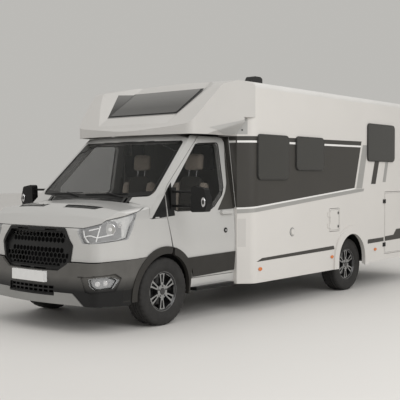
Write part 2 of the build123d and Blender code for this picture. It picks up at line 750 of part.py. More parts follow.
# ---------------------------------------------------------------------------- overcab cap
cap_slope = 34               # degrees of the skylight's slope
cap_lip = (452, 2152)        # y, height where the slope starts
cap_wall = 35
valley_half = 560
valley_rise = 22             # degrees that the slope's sides rise outwards
skylight = (275, 822, 545)   # along the slope from, to, half width


def cap_plane(offset_normal=0):
    a = radians(cap_slope)
    normal = Vector(0, -sin(a), cos(a))
    origin = Vector(0, cap_lip[0], cap_lip[1]) + normal * offset_normal
    return Plane(origin=origin, x_dir=(1, 0, 0), z_dir=(0, cos(a), sin(a)))


def cap_volume(inset):
    plan = [(half_width, cap_rear + 2 * inset), (1020, 790), (925, 490), (0, 398)]
    radii = [0, 500, 110, 2500]
    points = plan + [(-x, y) for x, y in reversed(plan) if x]
    face = outline(points, radii + radii[-2::-1])
    bottom = cab_top + seat_gap if inset == 0 else 1900
    rear = cap_rear + 2 * inset
    side = outline([(390 + inset, bottom), (390 + inset, 2085 - inset / 2), (466 + inset, 2146 - inset / 2),
                    (740 + inset * 0.75, 2455 - inset * 0.65), (905 + inset / 3, 2628 - inset),
                    (rear, 2740 - inset), (rear, bottom)], [0, 0, 50, 250, 160, 0, 0])
    volume = along_z(grow(face, -inset) if inset else face, 1800, 2900) & along_x(side, -1300, 1300)
    volume = volume & along_y(body_section(inset), 300, rear)
    plane = cap_plane(-inset)
    # in this plane the first axis is across the vehicle and the second is down the slope's normal
    rise = tan(radians(valley_rise))
    wide, high = 1400, 900
    up = -1 if plane.y_dir.Z < 0 else 1
    valley = outline([(-valley_half, 0), (valley_half, 0), (wide, (wide - valley_half) * rise * up),
                      (wide, high * up), (-wide, high * up), (-wide, (wide - valley_half) * rise * up)])
    valley = extrude(plane * valley, 1500, both=True)
    wedge = outline([(990 - inset, 1700), (990 - inset, cab_top + 2), (half_width + 5 - inset, cap_seam_height),
                     (1400, cap_seam_height), (1400, 1700)])
    return cut(volume, valley, along_y(wedge, 200, cab_rear), box(-1300, 1300, cab_rear, 1500, 1500, cap_seam_height))


def slope_box(amount, low, high):
    """Block over the skylight, between two heights along the slope's normal."""
    start, end, half = skylight
    a = radians(cap_slope)
    plane = Plane(origin=(0, cap_lip[0], cap_lip[1]), x_dir=(1, 0, 0), z_dir=(0, -sin(a), cos(a)))
    face = rectangle(-half - amount, half + amount, start - amount, end + amount, 30)
    return extrude(plane.offset(low) * face, high - low)


def build_cap():
    shell = cap_volume(0) - cap_volume(cap_wall)
    shell = cut(shell, slope_box(0, -120, 120))
    node("overcab_cap", largest(shell))
    node("skylight", slope_box(-seat_gap, -cap_wall, 12))


# ---------------------------------------------------------------------------- chassis and running gear
rail_inner = 400
rail_outer = 460
rail_low = 440
rail_high = 560
CROSSMEMBERS = (-800, 560, 1600, 2600, 3250, 4200)
kingpin_x = 800
kingpin_radius = 16
spindle_radius = 32
spring_half = 600            # half length of a rear leaf spring


def build_chassis():
    rail_side = outline([(-860, rail_low), (4330, rail_low), (4405, 365), (5860, 365), (5860, 420), (4450, 420),
                         (4450, rail_high), (-860, rail_high)])
    rail = along_x(rail_side, rail_inner, rail_outer)
    frame = rail + flip(rail)
    for y in CROSSMEMBERS:
        frame = frame + box(-rail_inner, rail_inner, y - 25, y + 25, 465, 540)
    for y in (4700, 5500, 5835):
        frame = frame + box(-rail_inner, rail_inner, y - 25, y + 25, 370, 415)
    for y in (1550, 2850, 4400):
        for s in (1, -1):
            x0, x1 = sorted((s * rail_outer, s * 1125))
            frame = frame + box(x0, x1, y - 20, y + 20, 500, 559.7)
    node("chassis_frame", largest(frame))
    engine = box(-360, 360, -770, -330, 540, 960)
    mounts = rail_inner - seat_gap
    node("engine_block", engine + box(-mounts, mounts, -600, -520, 480, 545))


def build_front_axle():
    arms = box(-430, 430, -50, 50, 250, 330)
    for s in (1, -1):
        x0, x1 = sorted((s * rail_inner, s * rail_outer))
        arms = arms + box(x0, x1, -50, 50, 300, rail_low - seat_gap)
        a0, a1 = sorted((s * 420, s * (kingpin_x + 35)))
        arms = arms + box(a0, a1, -34, 34, 205, 252)
        b0, b1 = sorted((s * (rail_outer + seat_gap), s * (kingpin_x + 35)))
        arms = arms + box(b0, b1, -30, 30, 496, 520)
        arms = arms - Pos(s * kingpin_x, 0, 380) * Cylinder(kingpin_radius + hub_fit, 400)
        c0, c1 = sorted((s * 575, s * 655))
        arms = arms + Pos(s * 615, 0, 380) * Cylinder(34, 280)
    node("front_suspension", largest(arms))
    upright = box(kingpin_x - 25, kingpin_x + 25, -45, 45, 252.3, 495.7)
    upright = upright + rod((kingpin_x, 0, 210), (kingpin_x, 0, 518), kingpin_radius)
    spindle = tube_x(0, hub_height, spindle_radius, kingpin_x, front_track / 2 + 46)
    arm = box(kingpin_x - 25, kingpin_x + 25, 30, 150, 300, 330)
    knuckle = upright + spindle + arm
    node("knuckle_left", knuckle)
    node("knuckle_right", flip(knuckle))


def build_rear_axle():
    reach = rear_track / 2 - 25
    beam = rod((-reach + 20, wheelbase, hub_height), (reach - 20, wheelbase, hub_height), 38)
    for s in (1, -1):
        beam = beam + rod((s * (reach - 30), wheelbase, hub_height), (s * (rear_track / 2 + 46), wheelbase, hub_height),
                          spindle_radius)
        front, rear = wheelbase - spring_half, wheelbase + spring_half
        spring = outline([(front, 410), (wheelbase, 395), (rear, 410), (rear, 436), (wheelbase, 421), (front, 436)])
        x0, x1 = sorted((s * 560, s * 620))
        beam = beam + along_x(spring, x0, x1)
        for y in (front, rear):
            h0, h1 = sorted((s * (rail_outer + seat_gap), s * 620))
            beam = beam + box(h0, h1, y - 30, y + 30, 405, 520)
    node("rear_axle", largest(beam))


def build_wheels():
    """Four alloy wheels and tyres."""
    half = tyre_width / 2
    bead = rim_radius + seat_gap
    tyre_rows = [(-86, bead), (-101, 228), (-half, 322), (-90, tyre_radius), (90, tyre_radius), (half, 322),
                 (101, 228), (86, bead)]
    tyre = revolve(Plane.XY * make_face(Polyline(*tyre_rows, close=True)), axis=Axis.X)
    w = rim_width / 2
    rim_rows = [(-w, rim_lip_radius - 0.3), (-w + 8, rim_radius), (w - 8, rim_radius), (w, rim_lip_radius - 0.3),
                (w, rim_lip_radius - 12), (w - 14, rim_radius - 12), (-w, rim_radius - 12)]
    rim = revolve(Plane.XY * make_face(Polyline(*rim_rows, close=True)), axis=Axis.X)
    disc = rod((w - 42, 0, 0), (w - 16, 0, 0), rim_radius - 10)
    spokes = 6
    window = outline([(70, -20), (185, -62), (185, 62), (70, 20)], 12)
    slot = outline([(95, -9), (180, -17), (180, 17), (95, 9)], 6)
    for i in range(spokes):
        turn = Rot(i * 360 / spokes, 0, 0)
        disc = disc - turn * along_x(window, w - 60, w)
        disc = disc - Rot((i + 0.5) * 360 / spokes, 0, 0) * along_x(slot, w - 60, w)
    hub = rod((-10, 0, 0), (w - 12, 0, 0), 72) - rod((-11, 0, 0), (w - 44, 0, 0), spindle_radius + hub_fit)
    brake = rod((-8, 0, 0), (8, 0, 0), 145) - rod((-11, 0, 0), (11, 0, 0), 60)
    wheel = largest(rim + disc + hub + brake)
    for name, x, y in (("front_left", front_track / 2, 0), ("rear_left", rear_track / 2, wheelbase)):
        placed_tyre = Pos(x, y, hub_height) * tyre
        placed_rim = Pos(x, y, hub_height) * wheel
        node("tyre_" + name, placed_tyre)
        node("rim_" + name, placed_rim)
        other = name.replace("left", "right")
        node("tyre_" + other, flip(placed_tyre))
        node("rim_" + other, flip(placed_rim))


def build_underside():
    pipe = rod((-250, 90, 335), (-250, 3150, 335), 28) + rod((-250, 2000, 335), (-250, 2700, 335), 75)
    for y in (560, 1600, 2600):
        pipe = pipe + box(-262, -238, y - 12, y + 12, 340, 465 - seat_gap)
    node("exhaust", largest(pipe))
    fuel = along_x(rectangle(1620, 2480, 340, 559.7, 45), 520, 1060)
    waste = along_x(rectangle(1620, 2780, 340, 559.7, 45), -1060, -520)
    node("tanks", fuel, waste)


def build_rear():
    bumper_face = rectangle(-1120, 1120, 392, 560, 40)
    bumper = along_y(bumper_face, rear_end - 200, rear_end) - body_volume(0)
    node("rear_bumper", *[s for s in solids_of(bumper) if s.volume > 1e5])
    lamp_face = rectangle(985, 1085, 640, 1120, 30)
    lamp = along_y(lamp_face, body_rear, body_rear + 24)
    node("rear_lamps", both(lamp))


def build_seats():
    """Two swivel seats on their pedestals."""
    top = 860
    cushion_side = outline([(500, top), (990, top), (980, top + 110), (510, top + 130)], 40)
    back = outline([(936, top + 40), (1086, top + 40), (1151, 1630), (1060, 1630)], [20, 40, 40, 40])
    head = outline([(1080, 1650), (1165, 1650), (1172, 1850), (1100, 1850)], 30)
    seats = []
    for x in (430, -430):
        seat = box(x - 190, x + 190, 550, 900, 580, top)
        seat = seat + along_x(cushion_side, x - 255, x + 255) + along_x(back, x - 250, x + 250)
        seat = seat + along_x(head, x - 140, x + 140)
        for dx in (-60, 60):
            seat = seat + rod((x + dx, 1105, 1600), (x + dx, 1125, 1680), 7)
        seats.append(largest(seat))
    node("seats", seats)


def column_place():
    """Frame whose third axis runs up the steering column, at the middle of the wheel."""
    return Pos(430, 385, 1200) * Rot(column_tilt - 90, 0, 0)


def build_controls():
    """Steering wheel on its column."""
    place = column_place()
    wheel = place * Torus(185, 15) + place * Pos(0, 0, -8) * Cylinder(48, 44)
    for turn in (-90, 0, 180):
        wheel = wheel + place * Rot(0, 0, turn) * Pos(105, 0, -4) * Box(150, 34, 12)
    wheel = wheel + place * Pos(0, 0, -110) * Cylinder(column_radius, 210)
    node("steering_wheel", wheel)


def export():
    os.makedirs("parts", exist_ok=True)
    for name, solids in NODES.items():
        placed = [Pos(0, axle_y, 0) * s for s in solids]
        shape = placed[0] if len(placed) == 1 else Compound(children=placed)
        export_step(shape, f"parts/{name}.step")


build_front()
build_cab()
build_body()
build_roof_fittings()
build_cap()
build_chassis()
build_front_axle()
build_rear_axle()
build_wheels()
build_underside()
build_rear()
build_seats()
build_controls()
export()
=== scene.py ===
import bmesh
import bpy
from math import cos, pi, radians, sin
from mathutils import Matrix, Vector
from mathutils.bvhtree import BVHTree


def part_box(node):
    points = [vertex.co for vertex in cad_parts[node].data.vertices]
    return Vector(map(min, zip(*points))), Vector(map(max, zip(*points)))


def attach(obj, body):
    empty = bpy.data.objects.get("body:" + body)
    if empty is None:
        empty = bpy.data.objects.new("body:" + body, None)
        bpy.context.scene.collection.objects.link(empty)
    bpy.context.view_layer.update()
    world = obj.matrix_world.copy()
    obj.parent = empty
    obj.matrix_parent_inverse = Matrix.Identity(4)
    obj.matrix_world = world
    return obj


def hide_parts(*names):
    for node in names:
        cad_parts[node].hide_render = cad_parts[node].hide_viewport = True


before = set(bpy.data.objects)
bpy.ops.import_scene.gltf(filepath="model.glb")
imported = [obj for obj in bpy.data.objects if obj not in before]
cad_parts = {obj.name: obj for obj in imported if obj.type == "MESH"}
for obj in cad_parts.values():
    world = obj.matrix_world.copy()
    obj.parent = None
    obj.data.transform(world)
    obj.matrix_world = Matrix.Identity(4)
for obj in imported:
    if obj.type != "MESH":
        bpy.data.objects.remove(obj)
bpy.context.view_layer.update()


def middle(node):
    low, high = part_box(node)
    return [(a + b) / 2 for a, b in zip(low, high)]


FRONT_AXLE = middle("rim_front_left")[1]
HALF_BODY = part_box("rear_wall")[1][0]
BODY_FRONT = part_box("wall_left")[0][1] - FRONT_AXLE
REAR_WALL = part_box("rear_wall")[1][1] - FRONT_AXLE
FOIL = 0.0012                # how far a foil stands off its panel


def at(x, y, z):
    """Point in the frame from x, distance behind the front axle, and height."""
    return Vector((x, y + FRONT_AXLE, z))


# ------------------------ materials
def noise_node(tree, vector, scale, detail):
    noise = tree.nodes.new("ShaderNodeTexNoise")
    noise.inputs["Scale"].default_value = scale
    noise.inputs["Detail"].default_value = detail
    tree.links.new(vector, noise.inputs["Vector"])
    return noise.outputs["Fac"]


def textured(name, colour, rough, metal=0.0, coat=0.0, alpha=1.0, variation=0.05, scale=4.0,
             grain=0.0, grain_scale=400.0, stretch=(1, 1, 1), shine=0.5):
    """Material with cloudy colour, uneven roughness and a fine surface grain."""
    material = bpy.data.materials.new(name)
    material.use_nodes = True
    tree = material.node_tree
    nodes, links, shader = tree.nodes, tree.links, tree.nodes["Principled BSDF"]
    for entry, value in (("Metallic", metal), ("Coat Weight", coat), ("Coat Roughness", 0.06),
                         ("Alpha", alpha), ("Specular IOR Level", shine)):
        shader.inputs[entry].default_value = value
    coords = nodes.new("ShaderNodeTexCoord")
    mapping = nodes.new("ShaderNodeMapping")
    mapping.inputs["Scale"].default_value = stretch
    links.new(coords.outputs["Object"], mapping.inputs["Vector"])
    cloud = noise_node(tree, mapping.outputs["Vector"], scale, 6)
    ramp = nodes.new("ShaderNodeValToRGB")
    for stop, position, factor in zip(ramp.color_ramp.elements, (0.3, 0.7), (1 - variation, 1 + variation)):
        stop.position = position
        stop.color = (*[min(1, c * factor) for c in colour], 1)
    links.new(cloud, ramp.inputs["Fac"])
    links.new(ramp.outputs["Color"], shader.inputs["Base Color"])
    spread = nodes.new("ShaderNodeMapRange")
    spread.inputs["To Min"].default_value = rough * 0.88
    spread.inputs["To Max"].default_value = min(1, rough * 1.12)
    links.new(cloud, spread.inputs["Value"])
    links.new(spread.outputs["Result"], shader.inputs["Roughness"])
    if grain:
        fine = noise_node(tree, mapping.outputs["Vector"], grain_scale, 3)
        bump = nodes.new("ShaderNodeBump")
        bump.inputs["Strength"].default_value = grain
        bump.inputs["Distance"].default_value = 0.001
        links.new(fine, bump.inputs["Height"])
        links.new(bump.outputs["Normal"], shader.inputs["Normal"])
    return material


def axes_of(tree, kind):
    """X, Y and Z of a texture coordinate, such as Object or Normal."""
    axes = tree.nodes.new("ShaderNodeSeparateXYZ")
    tree.links.new(tree.nodes.new("ShaderNodeTexCoord").outputs[kind], axes.inputs["Vector"])
    return axes.outputs


def math_node(tree, operation, *values):
    """Result of a math node that is fed by sockets and numbers."""
    node = tree.nodes.new("ShaderNodeMath")
    node.operation = operation
    for entry, value in zip(node.inputs, values):
        if isinstance(value, float):
            entry.default_value = value
        else:
            tree.links.new(value, entry)
    return node.outputs["Value"]


def ramp_node(tree, value, start, end):
    """Goes from 0 to 1 as the value goes from start to end."""
    ramp = tree.nodes.new("ShaderNodeMapRange")
    ramp.inputs["From Min"].default_value = start
    ramp.inputs["From Max"].default_value = end
    tree.links.new(value, ramp.inputs["Value"])
    return ramp.outputs["Result"]


def recoloured(material, share, colour):
    """Lays the colour over the material's own, by the share that a socket gives."""
    tree = material.node_tree
    base = tree.nodes["Principled BSDF"].inputs["Base Color"]
    mix = tree.nodes.new("ShaderNodeMix")
    mix.data_type = "RGBA"
    tree.links.new(share, mix.inputs["Factor"])
    tree.links.new(base.links[0].from_socket, mix.inputs["A"])
    mix.inputs["B"].default_value = (*colour, 1)
    tree.links.new(mix.outputs["Result"], base)
    return material


def face_masked(material, colour, start, end):
    """Gives the colour to faces that look outwards along X and lie further out than start to end."""
    tree = material.node_tree
    outward = ramp_node(tree, math_node(tree, "ABSOLUTE", axes_of(tree, "Normal")["X"]), 0.9, 0.97)
    beyond = ramp_node(tree, math_node(tree, "ABSOLUTE", axes_of(tree, "Object")["X"]), start, end)
    return recoloured(material, math_node(tree, "MULTIPLY", outward, beyond), colour)


def boxed(material, colour, low, high):
    """Gives the material the colour inside a box, whose places along X count from the middle both ways."""
    tree = material.node_tree
    place = axes_of(tree, "Object")
    inside = None
    for axis, least, most in zip("XYZ", low, high):
        spot = math_node(tree, "ABSOLUTE", place["X"]) if axis == "X" else place[axis]
        near = math_node(tree, "COMPARE", spot, (least + most) / 2, (most - least) / 2)
        inside = near if inside is None else math_node(tree, "MULTIPLY", inside, near)
    return recoloured(material, inside, colour)


def tinted(material, colour, axis, start, end):
    """Turns the material into the colour where the distance along an axis passes from start to end."""
    tree = material.node_tree
    away = math_node(tree, "ABSOLUTE", axes_of(tree, "Object")[axis])
    return recoloured(material, ramp_node(tree, away, start, end), colour)


def cab_paint(name):
    return textured(name, (0.53, 0.525, 0.51), 0.32, metal=0.25, coat=0.7, variation=0.02, scale=2,
                    grain=0.03, grain_scale=2500)


def body_paint(name):
    return textured(name, (0.64, 0.62, 0.59), 0.36, coat=0.35, variation=0.015, scale=1.5, grain=0.02,
                    grain_scale=700)


DARK = (0.048, 0.045, 0.040)
JET = (0.012, 0.012, 0.012)
CAB = cab_paint("cab_silver")
CAP = textured("cap_white", (0.53, 0.517, 0.495), 0.42, coat=0.15, variation=0.015, scale=2, grain=0.03,
               grain_scale=2500)
BODY = body_paint("body_white")
ROOF = textured("roof_white", (0.62, 0.61, 0.59), 0.5, variation=0.03, scale=3, grain=0.1, grain_scale=150)
FOIL_DARK = textured("foil_dark", DARK, 0.42, coat=0.05, variation=0.04, scale=3, shine=0.3,
                     grain=0.02, grain_scale=900)
FOIL_WHITE = textured("foil_white", (0.78, 0.77, 0.75), 0.4, variation=0.02)
FOIL_GREY = textured("foil_grey", (0.36, 0.355, 0.34), 0.38, metal=0.2, variation=0.03)
PLASTIC = textured("plastic_black", (0.008, 0.008, 0.008), 0.42, shine=0.25, variation=0.15, scale=12,
                   grain=0.35, grain_scale=900)
PLASTIC_GREY = textured("plastic_grey", (0.032, 0.030, 0.027), 0.46, shine=0.25, variation=0.08, scale=8,
                        grain=0.3, grain_scale=900)
GLOSS_BLACK = textured("gloss_black", JET, 0.16, coat=0.6, variation=0.1)
BUMPER = textured("plastic_bumper", (0.105, 0.101, 0.094), 0.42, shine=0.3, variation=0.08, scale=8,
                  grain=0.3, grain_scale=900)
# painted shade: below its crease the bumper turns darker towards the bottom
tinted(BUMPER, (0.006, 0.006, 0.006), "Z", 0.565, 0.43)
FITTINGS = textured("fittings_white", (0.60, 0.59, 0.57), 0.42, variation=0.03, scale=6)
tinted(FITTINGS, JET, "X", 0.68, 0.70)
GRILLE = textured("grille_black", (0.006, 0.006, 0.006), 0.36, shine=0.35, variation=0.15, scale=12,
                  grain=0.2, grain_scale=900)
# near-black and dull: painted shade in holes and openings
PAINTED_SHADE_BLACK = textured("grille_pit_shade", (0.0015, 0.0015, 0.0015), 0.9, shine=0.05, variation=0.1)
MIRROR = textured("mirror_glass", (0.55, 0.57, 0.58), 0.03, metal=1.0, variation=0.02)
# mid grey for the filler's ring, and painted shade in the recess where the cap meets the wall
GREY_AND_PAINTED_SHADE = textured("grey_and_painted_shade", (0.42, 0.415, 0.40), 0.4, variation=0.03)
SKY_GLASS_AND_PAINTED_LIGHT = textured("skylight_glass_and_painted_light", (0.040, 0.039, 0.037), 0.10, coat=0.25, alpha=0.97, variation=0.05,
                     scale=1.5)
# painted reflection: the skylight's glass turns lighter towards its top
tinted(SKY_GLASS_AND_PAINTED_LIGHT, (0.17, 0.168, 0.162), "Z", 2.40, 2.62)
SILVER = textured("silver_trim", (0.30, 0.30, 0.29), 0.36, metal=0.6, variation=0.05, grain=0.05)
CHROME = textured("chrome_trim", (0.75, 0.75, 0.76), 0.09, metal=1.0, variation=0.03)
STEEL = textured("steel_black", (0.05, 0.05, 0.052), 0.5, metal=0.4, variation=0.25, scale=9, grain=0.3,
                 grain_scale=300)
CAST = textured("cast_metal", (0.16, 0.16, 0.165), 0.55, metal=0.7, variation=0.2, scale=14, grain=0.5,
                grain_scale=260)
ENGINE = textured("engine_dark", (0.010, 0.010, 0.011), 0.7, shine=0.2, variation=0.25, scale=14, grain=0.5,
                  grain_scale=260)
ALLOY = textured("alloy_dark", (0.035, 0.035, 0.036), 0.34, metal=0.5, coat=0.3, variation=0.1, scale=20)
RUBBER = textured("rubber_tyre", (0.030, 0.029, 0.028), 0.72, shine=0.25, variation=0.18, scale=18,
                  grain=0.4, grain_scale=500)
SEAL = textured("rubber_seal", JET, 0.6, variation=0.2, scale=30, grain=0.2)
GLASS_CAB = textured("glass_cab", (0.016, 0.017, 0.016), 0.04, shine=0.35, alpha=0.32, variation=0.03)
GLASS_DARK = textured("acrylic_dark", (0.036, 0.035, 0.031), 0.24, coat=0.12, alpha=0.97, variation=0.03,
                      scale=2)
LENS = textured("lens_clear", (0.80, 0.81, 0.82), 0.05, coat=0.6, alpha=0.28, variation=0.02)
LAMP_BACK = textured("lamp_housing", (0.80, 0.80, 0.79), 0.16, metal=0.7, variation=0.08, scale=30)
LAMP_SHADE = textured("lamp_shade", (0.11, 0.11, 0.11), 0.3, metal=0.3, variation=0.25, scale=20)
LAMP_LINE = textured("lamp_line", (0.92, 0.92, 0.91), 0.3, variation=0.02)
ORANGE = textured("lens_orange", (0.62, 0.16, 0.02), 0.15, coat=0.6, variation=0.1, scale=60)
RED = textured("lens_red", (0.38, 0.012, 0.012), 0.15, coat=0.6, variation=0.12, scale=60)
CLEAR = textured("lens_white", (0.62, 0.62, 0.62), 0.15, coat=0.6, variation=0.08, scale=60)
PLATE = textured("plate_white", (0.74, 0.74, 0.73), 0.35, variation=0.03, scale=20, grain=0.05)
CLOTH_DARK = textured("seat_cloth_dark", (0.075, 0.068, 0.060), 0.85, variation=0.2, scale=60, grain=0.8,
                      grain_scale=1200)
CLOTH_BEIGE = textured("seat_cloth_beige", (0.80, 0.69, 0.58), 0.8, variation=0.1, scale=40, grain=0.7,
                       grain_scale=1200)
BOARD = textured("board_floor", (0.15, 0.12, 0.09), 0.6, variation=0.2, scale=5, grain=0.2,
                 stretch=(1, 0.15, 1))
LINING = textured("lining_light", (0.42, 0.40, 0.37), 0.6, variation=0.06, scale=10, grain=0.3)
UNDER = textured("underside_grey", (0.09, 0.09, 0.09), 0.7, variation=0.2, scale=6, grain=0.3)
RIM_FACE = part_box("rim_front_left")[1][0]
face_masked(ALLOY, (0.30, 0.30, 0.295), RIM_FACE - 0.06, RIM_FACE - 0.05)

# panels with a painted stretch: the scuttle and the rim behind the door, the door's rear edge, and on the
# wall's front corner the end of the window band, painted shade below the cap, and above the sill a darker
# tone that is painted shade for a recessed panel
SHELL = cab_paint("cab_shell_silver")
boxed(SHELL, (0.008, 0.008, 0.008), at(0, -0.335, 1.20), at(0.662, -0.085, 1.40))
boxed(SHELL, DARK, at(0.70, 1.130, 1.206), at(1.00, 1.230, 2.05))
DOOR = boxed(cab_paint("cab_door_silver"), DARK, at(0.70, 1.183, 1.204), at(1.00, 1.230, 2.05))
WALL = body_paint("wall_white")
boxed(WALL, DARK, at(0.70, 1.150, 1.216), at(1.02, 1.2185, 2.046))
# painted shade below the cap, in step with the cap's recess shade
boxed(WALL, (0.40, 0.396, 0.382), at(0.70, 1.150, 2.066), at(1.12, 1.301, 2.252))
# painted shade: a darker tone for the recessed panel above the sill
boxed(WALL, (0.57, 0.553, 0.527), at(0.70, 1.2185, 0.755), at(1.12, 1.288, 1.085))

WHEELS = ("front_left", "front_right", "rear_left", "rear_right")
FINISH = {
    CAB: ("bonnet", "front_wings"),
    SHELL: ("cab_shell",),
    DOOR: ("cab_door_left", "cab_door_right"),
    WALL: ("wall_left", "wall_right"),
    CAP: ("overcab_cap",),
    BODY: ("rear_wall", "garage_door_left", "garage_door_right",
           "entrance_door", "service_flap", "rear_arch_trims"),
    ROOF: ("roof_panel",),
    FITTINGS: ("roof_fittings",),
    PLASTIC: ("mirror_left", "mirror_right", "running_boards", "wheel_liners", "steering_wheel",
              "dashboard", "rear_bumper"),
    BUMPER: ("front_bumper",),
    GRILLE: ("grille",),
    PLASTIC_GREY: ("front_arch_trims", "door_trim_left", "door_trim_right"),
    SILVER: ("skid_plate",),
    GLASS_CAB: ("windscreen", "door_glass_left", "door_glass_right"),
    GLASS_DARK: ("side_windows",),
    SKY_GLASS_AND_PAINTED_LIGHT: ("skylight",),
    LENS: ("front_lamps",),
    RED: ("rear_lamps",),
    PLATE: ("number_plates",),
    STEEL: ("chassis_frame", "front_suspension", "rear_axle", "hinge_pillars"),
    CAST: ("knuckle_left", "knuckle_right", "exhaust"),
    ENGINE: ("engine_block",),
    UNDER: ("tanks", "floor_panel"),
    BOARD: ("cab_floor",),
    LINING: ("garage_lining",),
    ALLOY: ["rim_" + wheel for wheel in WHEELS],
    RUBBER: ["tyre_" + wheel for wheel in WHEELS],
}
for finish, names in FINISH.items():
    for name in names:
        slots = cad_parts[name].data.materials
        slots.clear()
        slots.append(finish)


# ------------------------ mesh helpers
def placed(name, data, material, body):
    """Object of a mesh or curve, in the scene and on its body."""
    data.materials.append(material)
    item = bpy.data.objects.new(name, data)
    bpy.context.scene.collection.objects.link(item)
    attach(item, body)
    return item


def piece(name, points, faces, material, body="root", smooth=False):
    mesh = bpy.data.meshes.new(name)
    mesh.from_pydata([tuple(p) for p in points], [], faces)
    mesh.validate()
    mesh.update()
    if smooth:
        mesh.shade_smooth()
    return placed(name, mesh, material, body)


def soften(item, width):
    """Bevels the sharp edges."""
    bevel = item.modifiers.new("edges", "BEVEL")
    bevel.width = width
    bevel.segments = 2
    bevel.limit_method = "ANGLE"
    bevel.angle_limit = radians(35)
    return item


def rounded(points, radius, steps=5):
    """Corner points of a closed polygon with each corner rounded."""
    out = []
    count = len(points)
    for i, corner in enumerate(points):
        p = Vector(corner)
        before, after = Vector(points[i - 1]) - p, Vector(points[(i + 1) % count]) - p
        reach = min(radius, before.length * 0.49, after.length * 0.49)
        a, b = p + before.normalized() * reach, p + after.normalized() * reach
        for k in range(steps + 1):
            t = k / steps
            out.append(tuple(a * (1 - t) ** 2 + p * 2 * t * (1 - t) + b * t ** 2))
    return out


def rectangle(u0, u1, v0, v1, radius=0.0):
    corners = [(u0, v0), (u1, v0), (u1, v1), (u0, v1)]
    return rounded(corners, radius) if radius else corners


def ellipse(u, v, across, up):
    return [(u + across * cos(t * pi / 12), v + up * sin(t * pi / 12)) for t in range(24)]


def slab(name, outline, place, depth, material, body="root", bevel=0.0):
    """Flat plate: outline points pass through `place(u, v, w)`, w from 0 to the depth."""
    count = len(outline)
    points = [place(u, v, 0) for u, v in outline] + [place(u, v, depth) for u, v in outline]
    faces = [tuple(range(count)), tuple(reversed(range(count, 2 * count)))]
    faces += [(i, i + count, (i + 1) % count + count, (i + 1) % count) for i in range(count)]
    item = piece(name, points, faces, material, body)
    fix_normals(item)
    return soften(item, bevel) if bevel else item


def fix_normals(item):
    work = bmesh.new()
    work.from_mesh(item.data)
    bmesh.ops.recalc_face_normals(work, faces=work.faces)
    work.to_mesh(item.data)
    work.free()


# places for slabs: u and v run along a surface, and w stands off it
def side_place(side, x):
    return lambda u, v, w: at(side * (x + w), u, v)


def front_place(side, y):
    return lambda u, v, w: at(side * u, y - w, v)


def rear_place(y):
    return lambda u, v, w: at(u, y + w, v)


def top_place(z):
    return lambda u, v, w: at(u, v, z + w)


def disc(name, centre, direction, radius, depth, material, body="root", segments=32,
         bevel=0.0):
    """Short round button standing along a direction."""
    turn = Vector((0, 0, 1)).rotation_difference(Vector(direction).normalized())
    ring = [(radius * cos(2 * pi * i / segments), radius * sin(2 * pi * i / segments))
            for i in range(segments)]
    place = lambda u, v, w: Vector(centre) + turn @ Vector((u, v, w))
    return slab(name, ring, place, depth, material, body, bevel)


def wire(name, points, radius, material, body="root", closed=False):
    """Round bar through the points that lie on the part."""
    points = [point for point in points if point is not None]
    curve = bpy.data.curves.new(name, "CURVE")
    curve.dimensions = "3D"
    curve.bevel_depth = radius
    curve.bevel_resolution = 3
    curve.use_fill_caps = True
    line = curve.splines.new("POLY")
    line.points.add(len(points) - 1)
    for spot, point in zip(line.points, points):
        spot.co = (*point, 1)
    line.use_cyclic_u = closed
    return placed(name, curve, material, body)


SKINS = {}
CORNER = radians(40)         # turn between a corner's rays and the front's


def skin(name):
    """Search tree of a CAD node's surface."""
    if name not in SKINS:
        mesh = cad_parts[name].data
        SKINS[name] = BVHTree.FromPolygons([v.co for v in mesh.vertices],
                                           [tuple(p.vertices) for p in mesh.polygons])
    return SKINS[name]


RAYS = {"left": Vector((-1, 0, 0)), "right": Vector((1, 0, 0)), "front": Vector((0, 1, 0)),
        "top": Vector((0, 0, -1)),
        "corner_left": Vector((-sin(CORNER), cos(CORNER), 0)),
        "corner_right": Vector((sin(CORNER), cos(CORNER), 0))}


def corner_at(side, u, v):
    """Point at u across a corner's view and height v."""
    return at(side * u * cos(CORNER), u * sin(CORNER), v)


def drop(point, facing, targets, lift):
    """First point of the targets that a ray from outside meets, lifted off the surface."""
    ray = RAYS[facing]
    start = point - ray * 4
    best = None
    for name in targets:
        spot, normal, _, distance = skin(name).ray_cast(start, ray)
        if spot is not None and (best is None or distance < best[0]):
            best = (distance, spot, normal)
    if best is None:
        return None
    _, spot, normal = best
    if normal.dot(ray) > 0:
        normal = -normal
    return spot + normal * lift


